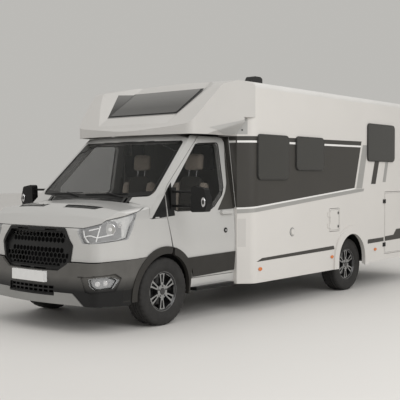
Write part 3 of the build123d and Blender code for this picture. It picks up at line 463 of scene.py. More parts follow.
def drape(name, outline, facing, targets, material, body="root", lift=FOIL, pitch=0.03):
    """Foil laid on curved panels: the outline is cut into cells and dropped on the CAD surface."""
    work = bmesh.new()
    flat = {"left": lambda u, v: at(0, u, v), "right": lambda u, v: at(0, u, v),
            "front": lambda u, v: at(u, 0, v), "top": lambda u, v: at(u, v, 0),
            "corner_left": lambda u, v: corner_at(1, u, v),
            "corner_right": lambda u, v: corner_at(-1, u, v)}[facing]
    work.faces.new([work.verts.new(flat(u, v)) for u, v in outline])
    us, vs = [p[0] for p in outline], [p[1] for p in outline]
    first, second = flat(1, 0) - flat(0, 0), flat(0, 1) - flat(0, 0)
    for values, axis, spot in ((us, first, lambda t: flat(t, 0)), (vs, second, lambda t: flat(0, t))):
        steps = max(1, int((max(values) - min(values)) / pitch))
        for k in range(1, steps):
            t = min(values) + (max(values) - min(values)) * k / steps
            bmesh.ops.bisect_plane(work, geom=work.verts[:] + work.edges[:] + work.faces[:],
                                   plane_co=spot(t), plane_no=axis)
    lost = []
    for vert in work.verts:
        spot = drop(vert.co.copy(), facing, targets, lift)
        if spot is None:
            lost.append(vert)
        else:
            vert.co = spot
    bmesh.ops.delete(work, geom=lost, context="VERTS")
    bmesh.ops.recalc_face_normals(work, faces=work.faces)
    mesh = bpy.data.meshes.new(name)
    work.to_mesh(mesh)
    work.free()
    mesh.shade_smooth()
    return placed(name, mesh, material, body)


def on_front(u, v, node, lift):
    """Point of a node's front, u across and v high."""
    return drop(at(u, 0, v), "front", (node,), lift)


SIDES = (("left", 1), ("right", -1))
QUARTERS = (0, 0.25, 0.5, 0.75, 1)


# ------------------------ foils on the body
FOIL_FRONT = BODY_FRONT + 0.002    # the side's foils start just behind the wall's front edge
BAND_TOP = ((0.964, 2.044), (3.887, 2.069))
BAND_BOTTOM = ((1.00, 1.214), (1.27, 1.217), (3.697, 1.420))
WHITE_LINE = 1.984
REAR_STRIPE = ((4.07, 0.622), (4.56, 0.632), (4.56, 0.690), (4.09, 0.682))
GARAGE_STRIPE = ((4.60, 0.632), (5.595, 0.652), (5.595, 0.805), (4.957, 0.792), (4.87, 0.710), (4.60, 0.700))


def line_at(rows, y):
    """Height of a broken line at y."""
    for (y0, z0), (y1, z1) in zip(rows, rows[1:]):
        if y <= y1:
            return z0 + (z1 - z0) * (y - y0) / (y1 - y0)
    return rows[-1][1]


def side_foil(name, outline, facing, material=FOIL_DARK, owner="root", lift=FOIL):
    """Foil on a side's wall, or on the door that owns it."""
    panel = "wall_" + facing if owner == "root" else owner
    drape(f"{name}_{facing}", outline, facing, (panel,), material, owner, lift=lift)


def left_foils():
    lay = lambda name, outline, material, lift=FOIL: side_foil(name, outline, "left", material, lift=lift)
    front = FOIL_FRONT
    lay("window_band", [(front, line_at(BAND_BOTTOM, front)), *BAND_BOTTOM[1:], BAND_TOP[1],
                        (front, line_at(BAND_TOP, front))], FOIL_DARK)
    lay("band_line", [(front, WHITE_LINE - 0.013), (3.862, WHITE_LINE + 0.002),
                      (3.868, WHITE_LINE + 0.026), (front, WHITE_LINE + 0.012)], FOIL_WHITE, 2 * FOIL)
    lay("band_edge", [(front, 1.196), (1.27, 1.199), (3.72, 1.402), (3.70, 1.420), (1.27, 1.217),
                      (front, 1.214)], FOIL_WHITE)
    lay("band_shade", [(front, 1.146), (1.27, 1.149), (3.95, 1.372), (3.97, 1.408), (3.72, 1.402),
                       (1.27, 1.196), (front, 1.193)], FOIL_GREY)
    lay("silver_wedge", [(3.745, 1.412), (3.908, 1.412), (4.076, 2.02), (3.925, 2.02)], FOIL_GREY)
    lay("dark_dash", [(4.169, 1.472), (4.304, 1.472), (4.42, 1.83), (4.285, 1.83)], FOIL_DARK)
    lay("light_dash", [(4.52, 1.499), (4.61, 1.499), (4.705, 1.83), (4.615, 1.83)], FOIL_GREY)
    lay("low_stripe", [(1.400, 0.575), (3.167, 0.606), (3.148, 0.655), (1.509, 0.612)], FOIL_DARK)
    lay("low_stripe_rear", REAR_STRIPE, FOIL_DARK)
    side_foil("door_stripe", GARAGE_STRIPE, "left", owner="garage_door_left")


def right_foils():
    """Foils of the right side, which are parted at the entrance door."""
    for name, y0, y1, owner in (("band_a", FOIL_FRONT, 2.080, "root"),
                                ("band_door", 2.094, 2.706, "entrance_door"),
                                ("band_b", 2.720, 3.85, "root")):
        rows = [(y0, line_at(BAND_BOTTOM, y0)), (y1, line_at(BAND_BOTTOM, y1)),
                (y1, line_at(BAND_TOP, y1)), (y0, line_at(BAND_TOP, y0))]
        if name == "band_a":
            rows.insert(1, BAND_BOTTOM[1])
        if name == "band_b":
            rows[1:3] = BAND_BOTTOM[2], BAND_TOP[1]
        side_foil(name, rows, "right", owner=owner)
        side_foil(name + "_line", [(y0, WHITE_LINE - 0.012), (y1, WHITE_LINE - 0.010),
                                   (y1, WHITE_LINE + 0.014), (y0, WHITE_LINE + 0.012)], "right",
                  FOIL_WHITE, owner, 2 * FOIL)
    for name, outline, owner in (
            ("low_stripe", [(1.408, 0.58), (2.082, 0.590), (2.082, 0.620), (1.509, 0.601)], "root"),
            ("low_stripe_door", [(2.094, 0.590), (2.706, 0.600), (2.706, 0.634), (2.094, 0.620)],
             "entrance_door"),
            ("low_stripe_b", [(2.720, 0.600), (3.150, 0.609), (3.140, 0.649), (2.720, 0.634)], "root"),
            ("low_stripe_c", REAR_STRIPE, "root"),
            ("door_stripe", GARAGE_STRIPE, "garage_door_right")):
        side_foil(name, outline, "right", owner=owner)


left_foils()
right_foils()


# ------------------------ cab doors
DOOR_WINDOW = ((0.165, 1.205), (0.165, 1.448), (0.660, 1.946), (1.062, 1.968), (1.052, 1.400), (0.800, 1.205))
HANDLE_FOOT = 0.972          # x at which a door's handle starts


def cab_door(facing, side):
    door = "cab_door_" + facing
    foil = lambda name, outline, look=FOIL_DARK: drape(
        f"{name}_{facing}", outline, facing, (door,), look, door)
    foil("door_dark_rear", [(0.90, 1.195), (1.184, 1.203), (1.184, 1.60), (1.177, 1.94), (1.150, 1.75),
                            (1.124, 1.497), (1.085, 1.405), (1.037, 1.344)])
    drape(f"quarter_dark_{facing}", [(-0.205, 1.132), (0.036, 1.150), (0.044, 1.384)], facing,
          ("cab_shell", "front_wings"), GRILLE, pitch=0.02)
    seal = [drop(at(0, u, v), facing, (door, "door_glass_" + facing), 0.002)
            for u, v in rounded(DOOR_WINDOW, 0.05)]
    wire(f"window_seal_{facing}", seal, 0.006, SEAL, door, closed=True)
    slab(f"door_handle_{facing}", rectangle(0.935, 1.145, 1.148, 1.192, 0.018),
         side_place(side, HANDLE_FOOT), 0.050, CAB, door, 0.006)
    lock = drop(at(0, 1.020, 0.962), facing, (door,), 0)
    disc(f"door_lock_{facing}", lock, (side, 0, 0), 0.030, 0.006, GRILLE, door, bevel=0.002)
    disc(f"door_lock_face_{facing}", lock + Vector((side * 0.006, 0, 0)), (side, 0, 0), 0.012, 0.003, CHROME,
         door, bevel=0.001)
    drape(f"clad_seam_{facing}", [(1.068, 0.496), (1.074, 0.496), (1.076, 0.704), (1.070, 0.704)], facing,
          ("door_trim_" + facing,), SEAL, door)
    slab(f"mirror_lamp_{facing}", ellipse(1.463, 1.312, 0.026, 0.050), front_place(side, 0.062), 0.008,
         CHROME, door, 0.003)
    slab(f"mirror_lamp_lens_{facing}", ellipse(1.463, 1.312, 0.013, 0.024), front_place(side, 0.054), 0.003,
         GLOSS_BLACK, door)
    glass = rounded([(1.300, 1.222), (1.470, 1.230), (1.494, 1.300), (1.458, 1.432), (1.312, 1.462)], 0.03)
    slab(f"mirror_glass_{facing}", glass, lambda u, v, w: at(side * u, 0.150 + w, v), 0.003, MIRROR,
         door, 0.001)
    foil("door_dark_front", [(0.056, 1.150), (0.165, 1.158), (0.165, 1.515), (0.110, 1.462),
                             (0.056, 1.400)], GRILLE)


for facing, side in SIDES:
    cab_door(facing, side)


# ------------------------ body front and cap
def body_front(facing, side):
    wall = "wall_" + facing
    line = [(side * 0.893, WHITE_LINE - 0.013), (side * 1.013, WHITE_LINE - 0.013),
            (side * 1.013, WHITE_LINE + 0.012), (side * 0.890, WHITE_LINE + 0.012)]
    drape(f"front_line_{facing}", line, "front", (wall,), FOIL_WHITE)
    seam = [on_front(side * (0.886 + 0.108 * t), 2.040 - 0.835 * t, wall, 0.001) for t in QUARTERS]
    wire(f"front_seam_{facing}", seam, 0.0022, CAB, "root")
    # painted shade in the recess where the cap meets the wall
    panel = [(0.72, 2.128), (1.205, 2.228), (1.205, 2.072), (1.10, 2.060), (0.98, 2.060)]
    drape(f"cap_recess_shade_{facing}", panel, facing, ("overcab_cap",), GREY_AND_PAINTED_SHADE, "root",
          0.003, 0.012)
    screw = drop(at(0, 1.256, 2.117), facing, (wall,), 0)
    disc(f"cap_screw_{facing}", screw, (side * 0.7, -0.7, 0), 0.010, 0.004, SEAL)


for facing, side in SIDES:
    body_front(facing, side)

CAP_SLOPE = radians(34)
SLOPE_FOOT_Y, SLOPE_FOOT_Z = 0.452, 2.152


def slope_place(u, v, w):
    """Place on the cap's slope: across, up the slope and off its face."""
    run, rise = cos(CAP_SLOPE), sin(CAP_SLOPE)
    return at(u, SLOPE_FOOT_Y + v * run - w * rise, SLOPE_FOOT_Z + v * rise + w * run)


for name, u0, u1, v0, v1 in (("low", -0.572, 0.572, 0.255, 0.292), ("high", -0.572, 0.572, 0.820, 0.836),
                             ("left", 0.520, 0.572, 0.292, 0.820), ("right", -0.572, -0.543, 0.292, 0.820)):
    slab(f"skylight_seal_{name}", rectangle(u0, u1, v0, v1), slope_place, 0.006, SEAL, bevel=0.001)
slab("skylight_lip", rectangle(-0.575, 0.575, 0.243, 0.255), slope_place, 0.004, FOIL_GREY, "root",
     0.001)
# painted shade: the skylight glass's dark colour laid on the cap's hollow beside the skylight
for facing, side in SIDES:
    hollow = [(side * 0.570, 2.300), (side * 0.735, 2.612), (side * 0.570, 2.612)]
    drape(f"skylight_hollow_shade_{facing}", hollow, "front", ("overcab_cap",), SKY_GLASS_AND_PAINTED_LIGHT, lift=0.002)

SCREEN_FOOT = ((0.0, 1.338), (0.40, 1.344), (0.60, 1.359), (0.72, 1.373), (0.80, 1.378), (0.862, 1.382))
foot = [(-u, v) for u, v in reversed(SCREEN_FOOT[1:])] + list(SCREEN_FOOT)
drape("scuttle_cover", [(-0.555, -0.292), (-0.30, -0.318), (0, -0.325), (0.30, -0.318), (0.555, -0.292),
                        (0.555, -0.180), (0.40, -0.208), (0, -0.230), (-0.40, -0.208), (-0.555, -0.180)],
      "top", ("cab_shell",), PLASTIC, pitch=0.02)
drape("screen_foot", foot + [(u * 0.992, v + 0.040) for u, v in reversed(foot)], "front", ("windscreen",),
      GRILLE, lift=0.001)

# the bonnet's vents, each with its ribs
for facing, side in SIDES:
    vent = [(side * 0.146, -0.607), (side * 0.164, -0.682), (side * 0.622, -0.656), (side * 0.668, -0.570)]
    drape(f"vent_grid_{facing}", vent, "top", ("bonnet",), GRILLE, "bonnet", lift=0.002, pitch=0.008)
    for k in range(4):
        x, y = 0.24 + k * 0.105, -0.668 + k * 0.006
        rib = [drop(at(side * u, v, 0), "top", ("bonnet",), 0.003)
               for u, v in ((x, y + 0.004), (x + 0.02, y + 0.060))]
        wire(f"vent_rib_{facing}_{k}", rib, 0.002, GRILLE, "bonnet")

# painted shade: near-black pits in the grille's plain part, in step with the honeycomb above and below it
GRILLE_MIDDLE, CELL_STEP, CELL_RADIUS = 0.872, 0.059, 0.0289
CELL_TURNS = [radians(30 + 60 * k) for k in range(6)]
pits, pit_faces = [], []
for row in (-1, 1):
    for column in range(-7, 7):
        x, z = (column + 0.5) * CELL_STEP, GRILLE_MIDDLE + row * CELL_STEP * cos(radians(30))
        corners = [on_front(x + CELL_RADIUS * cos(turn), z + CELL_RADIUS * sin(turn), "grille", 0.0008)
                   for turn in CELL_TURNS]
        if None not in corners:
            pit_faces.append(tuple(range(len(pits), len(pits) + 6)))
            pits += corners
piece("grille_pits", pits, pit_faces, PAINTED_SHADE_BLACK)
# painted shade: a near-black sheet behind the lower mesh, for the shade in the duct
duct = on_front(0.0, 0.42, "grille", 0).y - FRONT_AXLE + 0.055
slab("intake_shade_sheet", rectangle(-0.345, 0.345, 0.380, 0.490, 0.01), rear_place(duct), 0.004, PAINTED_SHADE_BLACK)

# windscreen wipers parked at the foot of the glass
for name, x0, x1 in (("left", -0.04, 0.56), ("right", -0.68, -0.10)):
    blade = [on_front(x0 + (x1 - x0) * t, 1.372 + 0.018 * t, "windscreen", 0.010) for t in QUARTERS]
    wire(f"wiper_blade_{name}", blade, 0.005, SEAL)
    arm_end = on_front(x0 + 0.55 * (x1 - x0), 1.386, "windscreen", 0.018)
    pivot = drop(at(x1 - 0.03, 0, 1.350), "front", ("windscreen", "cab_shell"), 0.012)
    wire(f"wiper_arm_{name}", [pivot, arm_end], 0.006, SEAL)
drape("screen_shade", [(-0.790, 1.972), (0.790, 1.972), (0.797, 1.940), (-0.797, 1.940)], "front",
      ("windscreen",), GLOSS_BLACK, lift=0.001, pitch=0.05)
screen_edge = [(-0.783, 1.972), (-0.40, 1.976), (0.0, 1.977), (0.40, 1.976), (0.783, 1.972), (0.800, 1.85),
               (0.834, 1.62), *reversed(foot), (-0.834, 1.62), (-0.800, 1.85)]
screen_seal = [on_front(u, v, "windscreen", 0.001) for u, v in screen_edge]
wire("windscreen_seal", screen_seal, 0.006, SEAL, closed=True)

# ------------------------ lamps
LAMP_EDGE = ((-0.052, 1.040), (0.012, 1.092), (0.121, 1.127), (0.298, 1.151), (0.470, 1.194), (0.462, 1.143),
             (0.415, 1.065), (0.384, 0.958), (0.302, 0.934), (0.140, 0.917), (0.025, 0.907), (-0.018, 0.916),
             (-0.046, 0.970))
LAMP_INNER = ((-0.044, 1.030), (0.012, 1.083), (0.121, 1.118), (0.285, 1.128), (0.345, 1.060), (0.350, 0.965),
              (0.302, 0.942), (0.140, 0.925), (0.028, 0.916), (-0.012, 0.924), (-0.040, 0.972))
LAMP_LINES = (
    ((-0.030, 0.970), (0.010, 0.983), (0.045, 0.986), (0.107, 0.967), (0.178, 0.980), (0.267, 0.998)),
    ((0.098, 0.928), (0.120, 1.000), (0.143, 1.081)),
    ((0.023, 1.038), (0.129, 1.061)),
    ((-0.036, 1.035), (-0.028, 0.975), (0.018, 0.918)))
FOG_EDGE = ((0.060, 0.535), (0.235, 0.552), (0.262, 0.533), (0.228, 0.480), (0.110, 0.474), (0.075, 0.498))
FOG_RIM = ((0.040, 0.548), (0.245, 0.566), (0.285, 0.537), (0.240, 0.466), (0.098, 0.458), (0.056, 0.490))
BUMPER_LIP = ((-0.090, 0.575), (0.080, 0.590), (0.285, 0.602), (0.340, 0.560))


def headlamp(facing, side):
    """Insides of a headlamp and a fog lamp, and the lines round them, seen from the corner."""
    corner = "corner_" + facing
    lamps = ("front_lamps",)
    put = lambda u, v, lift, nodes=lamps: drop(corner_at(side, u, v), corner, nodes, lift)
    back = lambda name, outline, material, lift: drape(
        f"{name}_{facing}", outline, corner, lamps, material, "root", lift, 0.02)
    out = Vector((side * sin(CORNER), -cos(CORNER), 0))
    button = lambda name, centre, radius, depth, material, bevel: disc(
        name, centre, out, radius, depth, material, "root", bevel=bevel)

    back("lamp_back", LAMP_EDGE, LAMP_BACK, -0.030)
    back("lamp_shade", LAMP_INNER, LAMP_SHADE, -0.027)
    for k, (u, v, radius) in enumerate(((0.235, 1.047, 0.062), (0.328, 1.088, 0.026))):
        button(f"reflector_rim_{facing}_{k}", put(u, v, -0.024), radius, 0.010, CHROME, 0.004)
        button(f"reflector_bowl_{facing}_{k}", put(u, v, -0.013), radius * 0.80, 0.004, FOIL_GREY, 0.0015)
        button(f"reflector_lens_{facing}_{k}", put(u, v, -0.009), radius * 0.30, 0.006, FOIL_WHITE, 0.002)
    for k, rows in enumerate(LAMP_LINES):
        wire(f"lamp_line_{facing}_{k}", [put(u, v, -0.008) for u, v in rows], 0.006, LAMP_LINE, "root")
    wire(f"lamp_seal_{facing}", [put(u, v, 0.0) for u, v in LAMP_EDGE], 0.0028, SEAL, closed=True)
    back("fog_back", FOG_EDGE, CAST, -0.012)
    for k, (u, v) in enumerate(((0.115, 0.512), (0.190, 0.517))):
        button(f"fog_bowl_{facing}_{k}", put(u, v, -0.010), 0.026, 0.007, CHROME, 0.003)
    rim = [put(u, v, 0.002, ("front_lamps", "front_bumper")) for u, v in FOG_RIM]
    wire(f"fog_rim_{facing}", rim, 0.007, PLASTIC, closed=True)
    wire(f"bumper_lip_{facing}", [put(u, v, 0.001, ("front_bumper",)) for u, v in BUMPER_LIP], 0.006,
         PLASTIC_GREY)
    for k, z in enumerate((0.445, 0.318)):
        drape(f"bumper_line_{facing}_{k}", rectangle(-0.600, -0.430, z - 0.006, z + 0.006), facing,
              ("front_bumper",), PLASTIC_GREY, lift=0.002)


for facing, side in SIDES:
    headlamp(facing, side)

# ------------------------ windows, doors and markers
GLASS_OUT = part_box("side_windows")[1][0]
# side, front edge, rear edge, bottom, top
WINDOWS = ((1, 1.404, 2.051, 1.540, 2.072), (1, 2.217, 2.866, 1.657, 2.075), (1, 4.045, 4.857, 1.798, 2.330),
           (-1, 1.404, 1.950, 1.540, 2.072), (-1, 2.900, 3.500, 1.657, 2.075),
           (-1, 4.045, 4.857, 1.798, 2.330))
for k, (side, y0, y1, z0, z1) in enumerate(WINDOWS):
    for name, inset, radius, x, thick in (("rim", 0.001, 0.06, HALF_BODY + 0.006, 0.006),
                                          ("line", 0.012, 0.05, GLASS_OUT - 0.0005, 0.0012)):
        rows = rectangle(y0 + inset, y1 - inset, z0 + inset, z1 - inset, radius)
        wire(f"window_{name}_{k}", [at(side * x, u, v) for u, v in rows], thick, SEAL, closed=True)

# side, hinge edge, far edge, bottom, top, heights of hinges, locks from the far edge, their heights, owner
DOORS = ((1, 4.581, 5.601, 0.447, 1.352, (0.582, 1.217), 0.06, (0.747, 1.052), "garage_door_left"),
         (-1, 4.581, 5.601, 0.447, 1.352, (0.582, 1.217), 0.06, (0.747, 1.052), "garage_door_right"),
         (-1, 2.090, 2.710, 0.430, 2.260, (0.565, 1.345, 2.125), 0.055, (1.02,), "entrance_door"),
         (1, 3.036, 3.294, 0.850, 1.150, (0.925, 1.075), 0.035, (0.91, 1.09), "service_flap"))
BARREL_HALF, HINGE_HALF, HINGE_LIFT = 0.0285, 0.029, 0.0092
for side, y0, y1, z0, z1, hinge_heights, lock_inset, lock_heights, owner in DOORS:
    place = side_place(side, HALF_BODY)
    hinge = BODY if owner == "service_flap" else PLASTIC
    for k, z in enumerate(hinge_heights):
        barrel = [at(side * (HALF_BODY + 0.009), y0 - 0.009, z + end) for end in (-BARREL_HALF, BARREL_HALF)]
        wire(f"hinge_barrel_{owner}_{k}", barrel, 0.0078, hinge)
        for name, near, far, body in (("cover", -0.048, -0.020, "root"), ("plate", 0.003, 0.030, owner)):
            slab(f"hinge_{name}_{owner}_{k}", rectangle(y0 + near, y0 + far, z - HINGE_HALF, z + HINGE_HALF),
                 place, HINGE_LIFT, hinge, body, bevel=0.001)
    inner = rectangle(y0 + 0.016, y1 - 0.016, z0 + 0.016, z1 - 0.016, 0.02)
    wire(f"door_groove_{owner}", [place(u, v, 0.0002) for u, v in inner], 0.0012, SEAL, owner, closed=True)
    for k, z in enumerate(lock_heights):
        for name, w, radius, depth, look, slot, bevel in (
                ("ring", 0, 0.022, 0.004, FOIL_GREY, "silver_plastic", 0.001),
                ("face", 0.004, 0.013, 0.002, SEAL, "dark_plastic", 0)):
            disc(f"lock_{name}_{owner}_{k}", place(y1 - lock_inset, z, w), (side, 0, 0), radius, depth, look,
                 owner, bevel=bevel)

entrance = side_place(-1, HALF_BODY)
slab("entrance_window", rectangle(2.225, 2.575, 1.43, 1.96, 0.05), entrance, 0.012, GLASS_DARK,
     "entrance_door", 0.003)
slab("entrance_handle", rectangle(2.600, 2.690, 1.10, 1.23, 0.02), entrance, 0.022, PLASTIC,
     "entrance_door", bevel=0.004)
slab("entrance_step_lamp", rectangle(2.30, 2.50, 2.30, 2.33, 0.012), entrance, 0.018, CLEAR, "root",
     0.003)
slab("outside_light", rectangle(2.80, 3.10, 2.30, 2.34, 0.015), entrance, 0.022, CLEAR, "root",
     0.004)

FILLER_Y, FILLER_Z = 2.150, 0.890
disc("filler_ring", at(HALF_BODY, FILLER_Y, FILLER_Z), (1, 0, 0), 0.050, 0.006, GREY_AND_PAINTED_SHADE, "root",
     bevel=0.002)
filler_turns = [k * pi / 16 for k in range(32)]
filler_edge = [at(HALF_BODY + 0.001, FILLER_Y + 0.052 * cos(turn), FILLER_Z + 0.052 * sin(turn))
               for turn in filler_turns]
wire("filler_edge", filler_edge, 0.002, SEAL, closed=True)
disc("filler_cap", at(HALF_BODY + 0.006, FILLER_Y, FILLER_Z), (1, 0, 0), 0.036, 0.010, BODY, "root",
     bevel=0.003)
for facing, side in SIDES:
    for k, (y, z) in enumerate(((1.469, 0.486), (3.099, 0.509), (4.30, 0.53), (5.78, 0.54))):
        slab(f"marker_{facing}_{k}", ellipse(y, z, 0.036, 0.022), side_place(side, HALF_BODY), 0.010, ORANGE,
             "root", 0.003)

# ------------------------ roof
for k, (y, half, width) in enumerate(((2.45, 0.20, 0.20), (3.70, 0.26, 0.35), (5.15, 0.20, 0.20))):
    top = drop(at(0, y, 0), "top", ("roof_fittings",), 0).z
    slab(f"rooflight_pane_{k}", rectangle(-width, width, y - half, y + half, 0.04), top_place(top - 0.002),
         0.005, GLASS_DARK, "root", 0.001)

# ------------------------ rear
LAMP_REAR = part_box("rear_lamps")[1][1] - FRONT_AXLE
for facing, side in SIDES:
    for name, z0, z1, finish in (("turn", 0.985, 1.105, ORANGE), ("reverse", 0.790, 0.870, CLEAR)):
        slab(f"rear_{name}_{facing}", rectangle(side * 0.993, side * 1.077, z0, z1, 0.01),
             rear_place(LAMP_REAR - 0.001), 0.0012, finish, "root")
    slab(f"rear_reflector_{facing}", rectangle(side * 0.86, side * 0.96, 0.452, 0.490, 0.006),
         rear_place(REAR_WALL + 0.0385), 0.0012, RED, "root")
rear = rear_place(REAR_WALL)
slab("high_stop_lamp", rectangle(-0.20, 0.20, 2.50, 2.53, 0.01), rear, 0.016, RED, "root",
     0.003)
slab("rear_camera", rectangle(-0.05, 0.05, 2.40, 2.46, 0.015), rear, 0.028, PLASTIC, bevel=0.005)
slab("rear_stripe", rectangle(-1.10, 1.10, 1.22, 1.40), rear, FOIL, FOIL_DARK)
slab("rear_line", rectangle(-1.10, 1.10, 1.175, 1.205), rear, FOIL, FOIL_GREY, "root")
slab("plate_lamp", rectangle(-0.10, 0.10, 0.770, 0.790, 0.006), rear, 0.026, PLASTIC, bevel=0.003)

# dark edge round the front number plate
PLATE_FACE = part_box("number_plates")[0][1] - FRONT_AXLE
plate_edge = [at(u, PLATE_FACE + 0.0025, v) for u, v in rectangle(-0.258, 0.258, 0.504, 0.610, 0.008)]
wire("plate_edge_front", plate_edge, 0.0022, SEAL, closed=True)


# ------------------------ tyres
TYRE_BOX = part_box("tyre_front_left")
TYRE_RADIUS = (TYRE_BOX[1][2] - TYRE_BOX[0][2]) / 2
TYRE_HALF = (TYRE_BOX[1][0] - TYRE_BOX[0][0]) / 2
TYRE_STEPS = 144
GROOVE = 0.008               # depth of the grooves round the tread
NOTCH = 0.007                # depth of the cuts between the shoulder blocks
SIPE = 0.004                 # depth of the cuts across the middle ribs
# half of the side wall and of the tread: across from the middle, radius
TYRE_WALL = [(-0.090, 0.2045), (-0.101, 0.214), (-0.106, 0.232), (-0.108, 0.234), (-0.1145, 0.262),
             (-TYRE_HALF, 0.290), (-0.1165, 0.318), (-0.112, 0.336)]
TYRE_TREAD = [(-0.104, 0.350), (-0.094, TYRE_RADIUS - 0.003), (-0.071, TYRE_RADIUS),
              (-0.068, TYRE_RADIUS - GROOVE), (-0.059, TYRE_RADIUS - GROOVE), (-0.056, TYRE_RADIUS),
              (-0.024, TYRE_RADIUS), (-0.021, TYRE_RADIUS - GROOVE), (-0.012, TYRE_RADIUS - GROOVE),
              (-0.009, TYRE_RADIUS)]


def tyre(name, node, body):
    """Tyre with shoulder blocks, grooves and a moulded side wall."""
    centre = Vector(middle(node))
    half_profile = TYRE_WALL + TYRE_TREAD
    profile = half_profile + [(-x, r) for x, r in reversed(half_profile)]
    points, faces = [], []
    count = len(profile)
    for i in range(TYRE_STEPS):
        turn = 2 * pi * i / TYRE_STEPS
        for k, (x, r) in enumerate(profile):
            tread = len(TYRE_WALL) <= k < count - len(TYRE_WALL)
            notched = (i if x > 0 else i + 2) % 4 == 0
            if tread and abs(x) > 0.055 and notched:
                r -= NOTCH
            if tread and abs(x) < 0.03 and i % 6 == 0:
                r -= SIPE
            if not tread and 0.232 <= r <= 0.30 and i % 12 == 0:
                r += 0.0006
            points.append(centre + Vector((x, r * cos(turn), r * sin(turn))))
    for i in range(TYRE_STEPS):
        here, there = i * count, (i + 1) % TYRE_STEPS * count
        faces += [(here + k, there + k, there + k + 1, here + k + 1) for k in range(count - 1)]
    item = piece(name, points, faces, RUBBER, body, smooth=True)
    fix_normals(item)
    item.data.set_sharp_from_angle(angle=radians(32))
    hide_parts(node)


def wheel_centre(wheel):
    """Cap and bolts at the middle of a wheel's outer face."""
    body = "wheel_" + wheel
    side = 1 if wheel.endswith("left") else -1
    rim = Vector(middle("rim_" + wheel))
    face = abs(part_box("rim_" + wheel)[1 if side > 0 else 0][0])
    disc("hub_cap_" + wheel, (side * (face - 0.013), rim.y, rim.z), (side, 0, 0), 0.036, 0.006,
         GLOSS_BLACK, body, bevel=0.0015)
    for k in range(5):
        turn = 2 * pi * k / 5 + 0.3
        spot = (side * (face - 0.0135), rim.y + 0.056 * cos(turn), rim.z + 0.056 * sin(turn))
        disc(f"wheel_bolt_{wheel}_{k}", spot, (side, 0, 0), 0.009, 0.007, STEEL, body,
             segments=6)


for wheel in WHEELS:
    tyre("tyre_detailed_" + wheel, "tyre_" + wheel, "wheel_" + wheel)
    wheel_centre(wheel)


# ------------------------ seats
def cushion(name, size, place, material, crown, pinch=0.02, channels=()):
    """Stuffed pad: a subdivided block with crowned faces, pulled-in corners and sewn channels."""
    cells = 14
    sx, sy, sz = (s / 2 for s in size)
    points, index, faces = [], {}, []

    def vertex(i, j, k):
        key = (i, j, k)
        if key not in index:
            u, v, w = (2 * i / cells - 1, 2 * j / cells - 1, 2 * k / cells - 1)
            bulge = (1 - u * u) * (1 - v * v)
            edge = 1 - pinch * abs(u * v * w)
            x = u * sx * edge * (1 - 0.10 * max(abs(v), abs(w)) ** 6)
            y = v * sy * edge * (1 - 0.10 * max(abs(u), abs(w)) ** 6)
            z = w * sz * (1 - 0.25 * max(abs(u), abs(v)) ** 6) + w * crown * (bulge ** 0.5 - 1) * 0.5
            for spot, deep in channels:
                if w > 0:
                    z -= deep * max(0.0, 1 - abs(v - spot) / 0.09) ** 2
            index[key] = len(points)
            points.append(place(x, y, z))
        return index[key]

    for a in range(cells):
        for b in range(cells):
            cell = ((a, b), (a + 1, b), (a + 1, b + 1), (a, b + 1))
            for flip in (0, cells):
                faces.append(tuple(vertex(m, n, flip) for m, n in cell))
                faces.append(tuple(vertex(m, flip, n) for m, n in cell))
                faces.append(tuple(vertex(flip, m, n) for m, n in cell))
    item = piece(name, points, faces, material, "root", smooth=True)
    fix_normals(item)
    item.modifiers.new("smooth", "SUBSURF").levels = 1
    item.modifiers["smooth"].render_levels = 1
    return item


LEAN = radians(6)


def leaning(x, y, z):
    """Place on a backrest: across, up along the lean, and forward off its face."""
    up = Vector((0, sin(LEAN), cos(LEAN)))
    out = Vector((0, -cos(LEAN), sin(LEAN)))
    origin = at(x, y, z)
    return lambda u, v, w: origin + Vector((u, 0, 0)) + up * v + out * w


def seat(facing, x):
    """Padded seat on its pedestal, with side wings and a headrest."""
    on_seat = lambda across, height: lambda u, v, w: at(across + u, 0.745 + v, height + w)
    parts = [cushion(f"seat_cushion_{facing}", (0.34, 0.47, 0.13), on_seat(x, 0.935), CLOTH_DARK, 0.03,
                     channels=((-0.35, 0.008), (0.3, 0.008)))]
    for letter, side in (("a", 1), ("b", -1)):
        parts.append(cushion(f"seat_wing_{facing}_{letter}", (0.085, 0.46, 0.15),
                             on_seat(x + side * 0.207, 0.940), CLOTH_BEIGE, 0.02))
        parts.append(cushion(f"back_wing_{facing}_{letter}", (0.085, 0.52, 0.13),
                             leaning(x + side * 0.205, 1.045, 1.245), CLOTH_BEIGE, 0.02))
    parts.append(cushion(f"seat_back_{facing}", (0.34, 0.60, 0.11), leaning(x, 1.058, 1.28), CLOTH_DARK, 0.02,
                         channels=((-0.2, 0.008), (0.35, 0.008))))
    parts.append(cushion(f"headrest_{facing}", (0.27, 0.195, 0.085), leaning(x, 1.128, 1.75), CLOTH_BEIGE,
                         0.02))
    parts.append(slab(f"seat_pedestal_{facing}", rectangle(x - 0.185, x + 0.185, 0.55, 0.895, 0.04),
                      top_place(0.5805), 0.285, PLASTIC, bevel=0.006))
    for k, across in enumerate((-0.06, 0.06)):
        post = [at(x + across, 1.098, 1.56), at(x + across, 1.118, 1.70)]
        parts.append(wire(f"headrest_post_{facing}_{k}", post, 0.006, CHROME, "root"))
    for item in parts:
        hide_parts("seats")


for facing, side in SIDES:
    seat(facing, side * 0.43)


# ------------------------ stage, light and camera
FLOOR_HALF = 60
FLOOR_PALE = textured("floor_pale", (0.68, 0.665, 0.64), 0.6, variation=0.015, scale=0.3)
floor_corners = [(u, v, 0) for u, v in rectangle(-FLOOR_HALF, FLOOR_HALF, -FLOOR_HALF, FLOOR_HALF)]
floor = piece("studio_floor", floor_corners, [(0, 1, 2, 3)], FLOOR_PALE, "root")

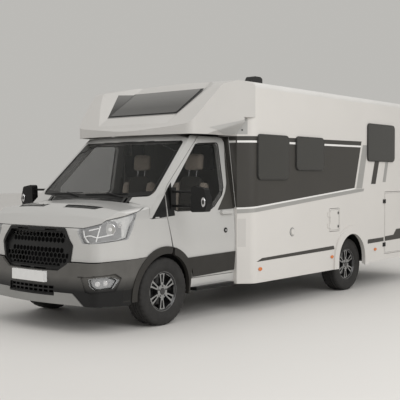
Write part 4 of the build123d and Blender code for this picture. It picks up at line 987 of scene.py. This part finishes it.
# the world lights the part at a strength of its own; the camera, glass and reflections see the backdrop
world = bpy.data.worlds.new("studio")
bpy.context.scene.world = world
world.use_nodes = True
tree = world.node_tree
ambient, backdrop = tree.nodes["Background"], tree.nodes.new("ShaderNodeBackground")
for shade, colour, strength in ((ambient, (1.0, 0.985, 0.965), 0.66),
                                (backdrop, (0.50, 0.492, 0.470), 1.0)):
    shade.inputs["Color"].default_value = (*colour, 1)
    shade.inputs["Strength"].default_value = strength
path = tree.nodes.new("ShaderNodeLightPath").outputs
seen = math_node(tree, "MAXIMUM", path["Is Camera Ray"], path["Is Transmission Ray"])
any_seen = math_node(tree, "MAXIMUM", seen, path["Is Glossy Ray"])
choose = tree.nodes.new("ShaderNodeMixShader")
for entry, source in zip(choose.inputs, (any_seen, ambient.outputs[0], backdrop.outputs[0])):
    tree.links.new(source, entry)
tree.links.new(choose.outputs["Shader"], tree.nodes["World Output"].inputs["Surface"])


def area_light(name, place, target, size, power):
    lamp = bpy.data.lights.new(name, "AREA")
    lamp.shape = "RECTANGLE"
    lamp.size, lamp.size_y = size
    lamp.energy = power
    item = bpy.data.objects.new(name, lamp)
    bpy.context.scene.collection.objects.link(item)
    item.location = place
    item.rotation_euler = (Vector(target) - Vector(place)).to_track_quat("-Z", "Y").to_euler()


# name, place, target, size, power
for row in (("key", (11, -4, 7.5), (0, 0, 1.2), (8, 8), 700),
            ("front", (-4, -12, 6), (0, -2.5, 1.0), (6, 4), 130),
            ("top", (1, 2, 12), (0, 1, 0), (9, 9), 230)):
    area_light(*row)

# the photo's camera
PHOTO_WIDTH = 400            # pixels
FOCAL_LENGTH = 818.4         # pixels
AZIMUTH, PITCH = radians(39.99), radians(-1.57)
camera = bpy.data.cameras.new("photo_view")
camera.sensor_width = 36
camera.lens = FOCAL_LENGTH / PHOTO_WIDTH * camera.sensor_width
view = bpy.data.objects.new("photo_view", camera)
bpy.context.scene.collection.objects.link(view)
view.location = at(6.804, -6.361, 1.564)
forward = Vector((-sin(AZIMUTH) * cos(PITCH), cos(AZIMUTH) * cos(PITCH), sin(PITCH)))
view.rotation_euler = forward.to_track_quat("-Z", "Y").to_euler()
bpy.context.scene.camera = view
bpy.context.scene.view_settings.view_transform = "Standard"
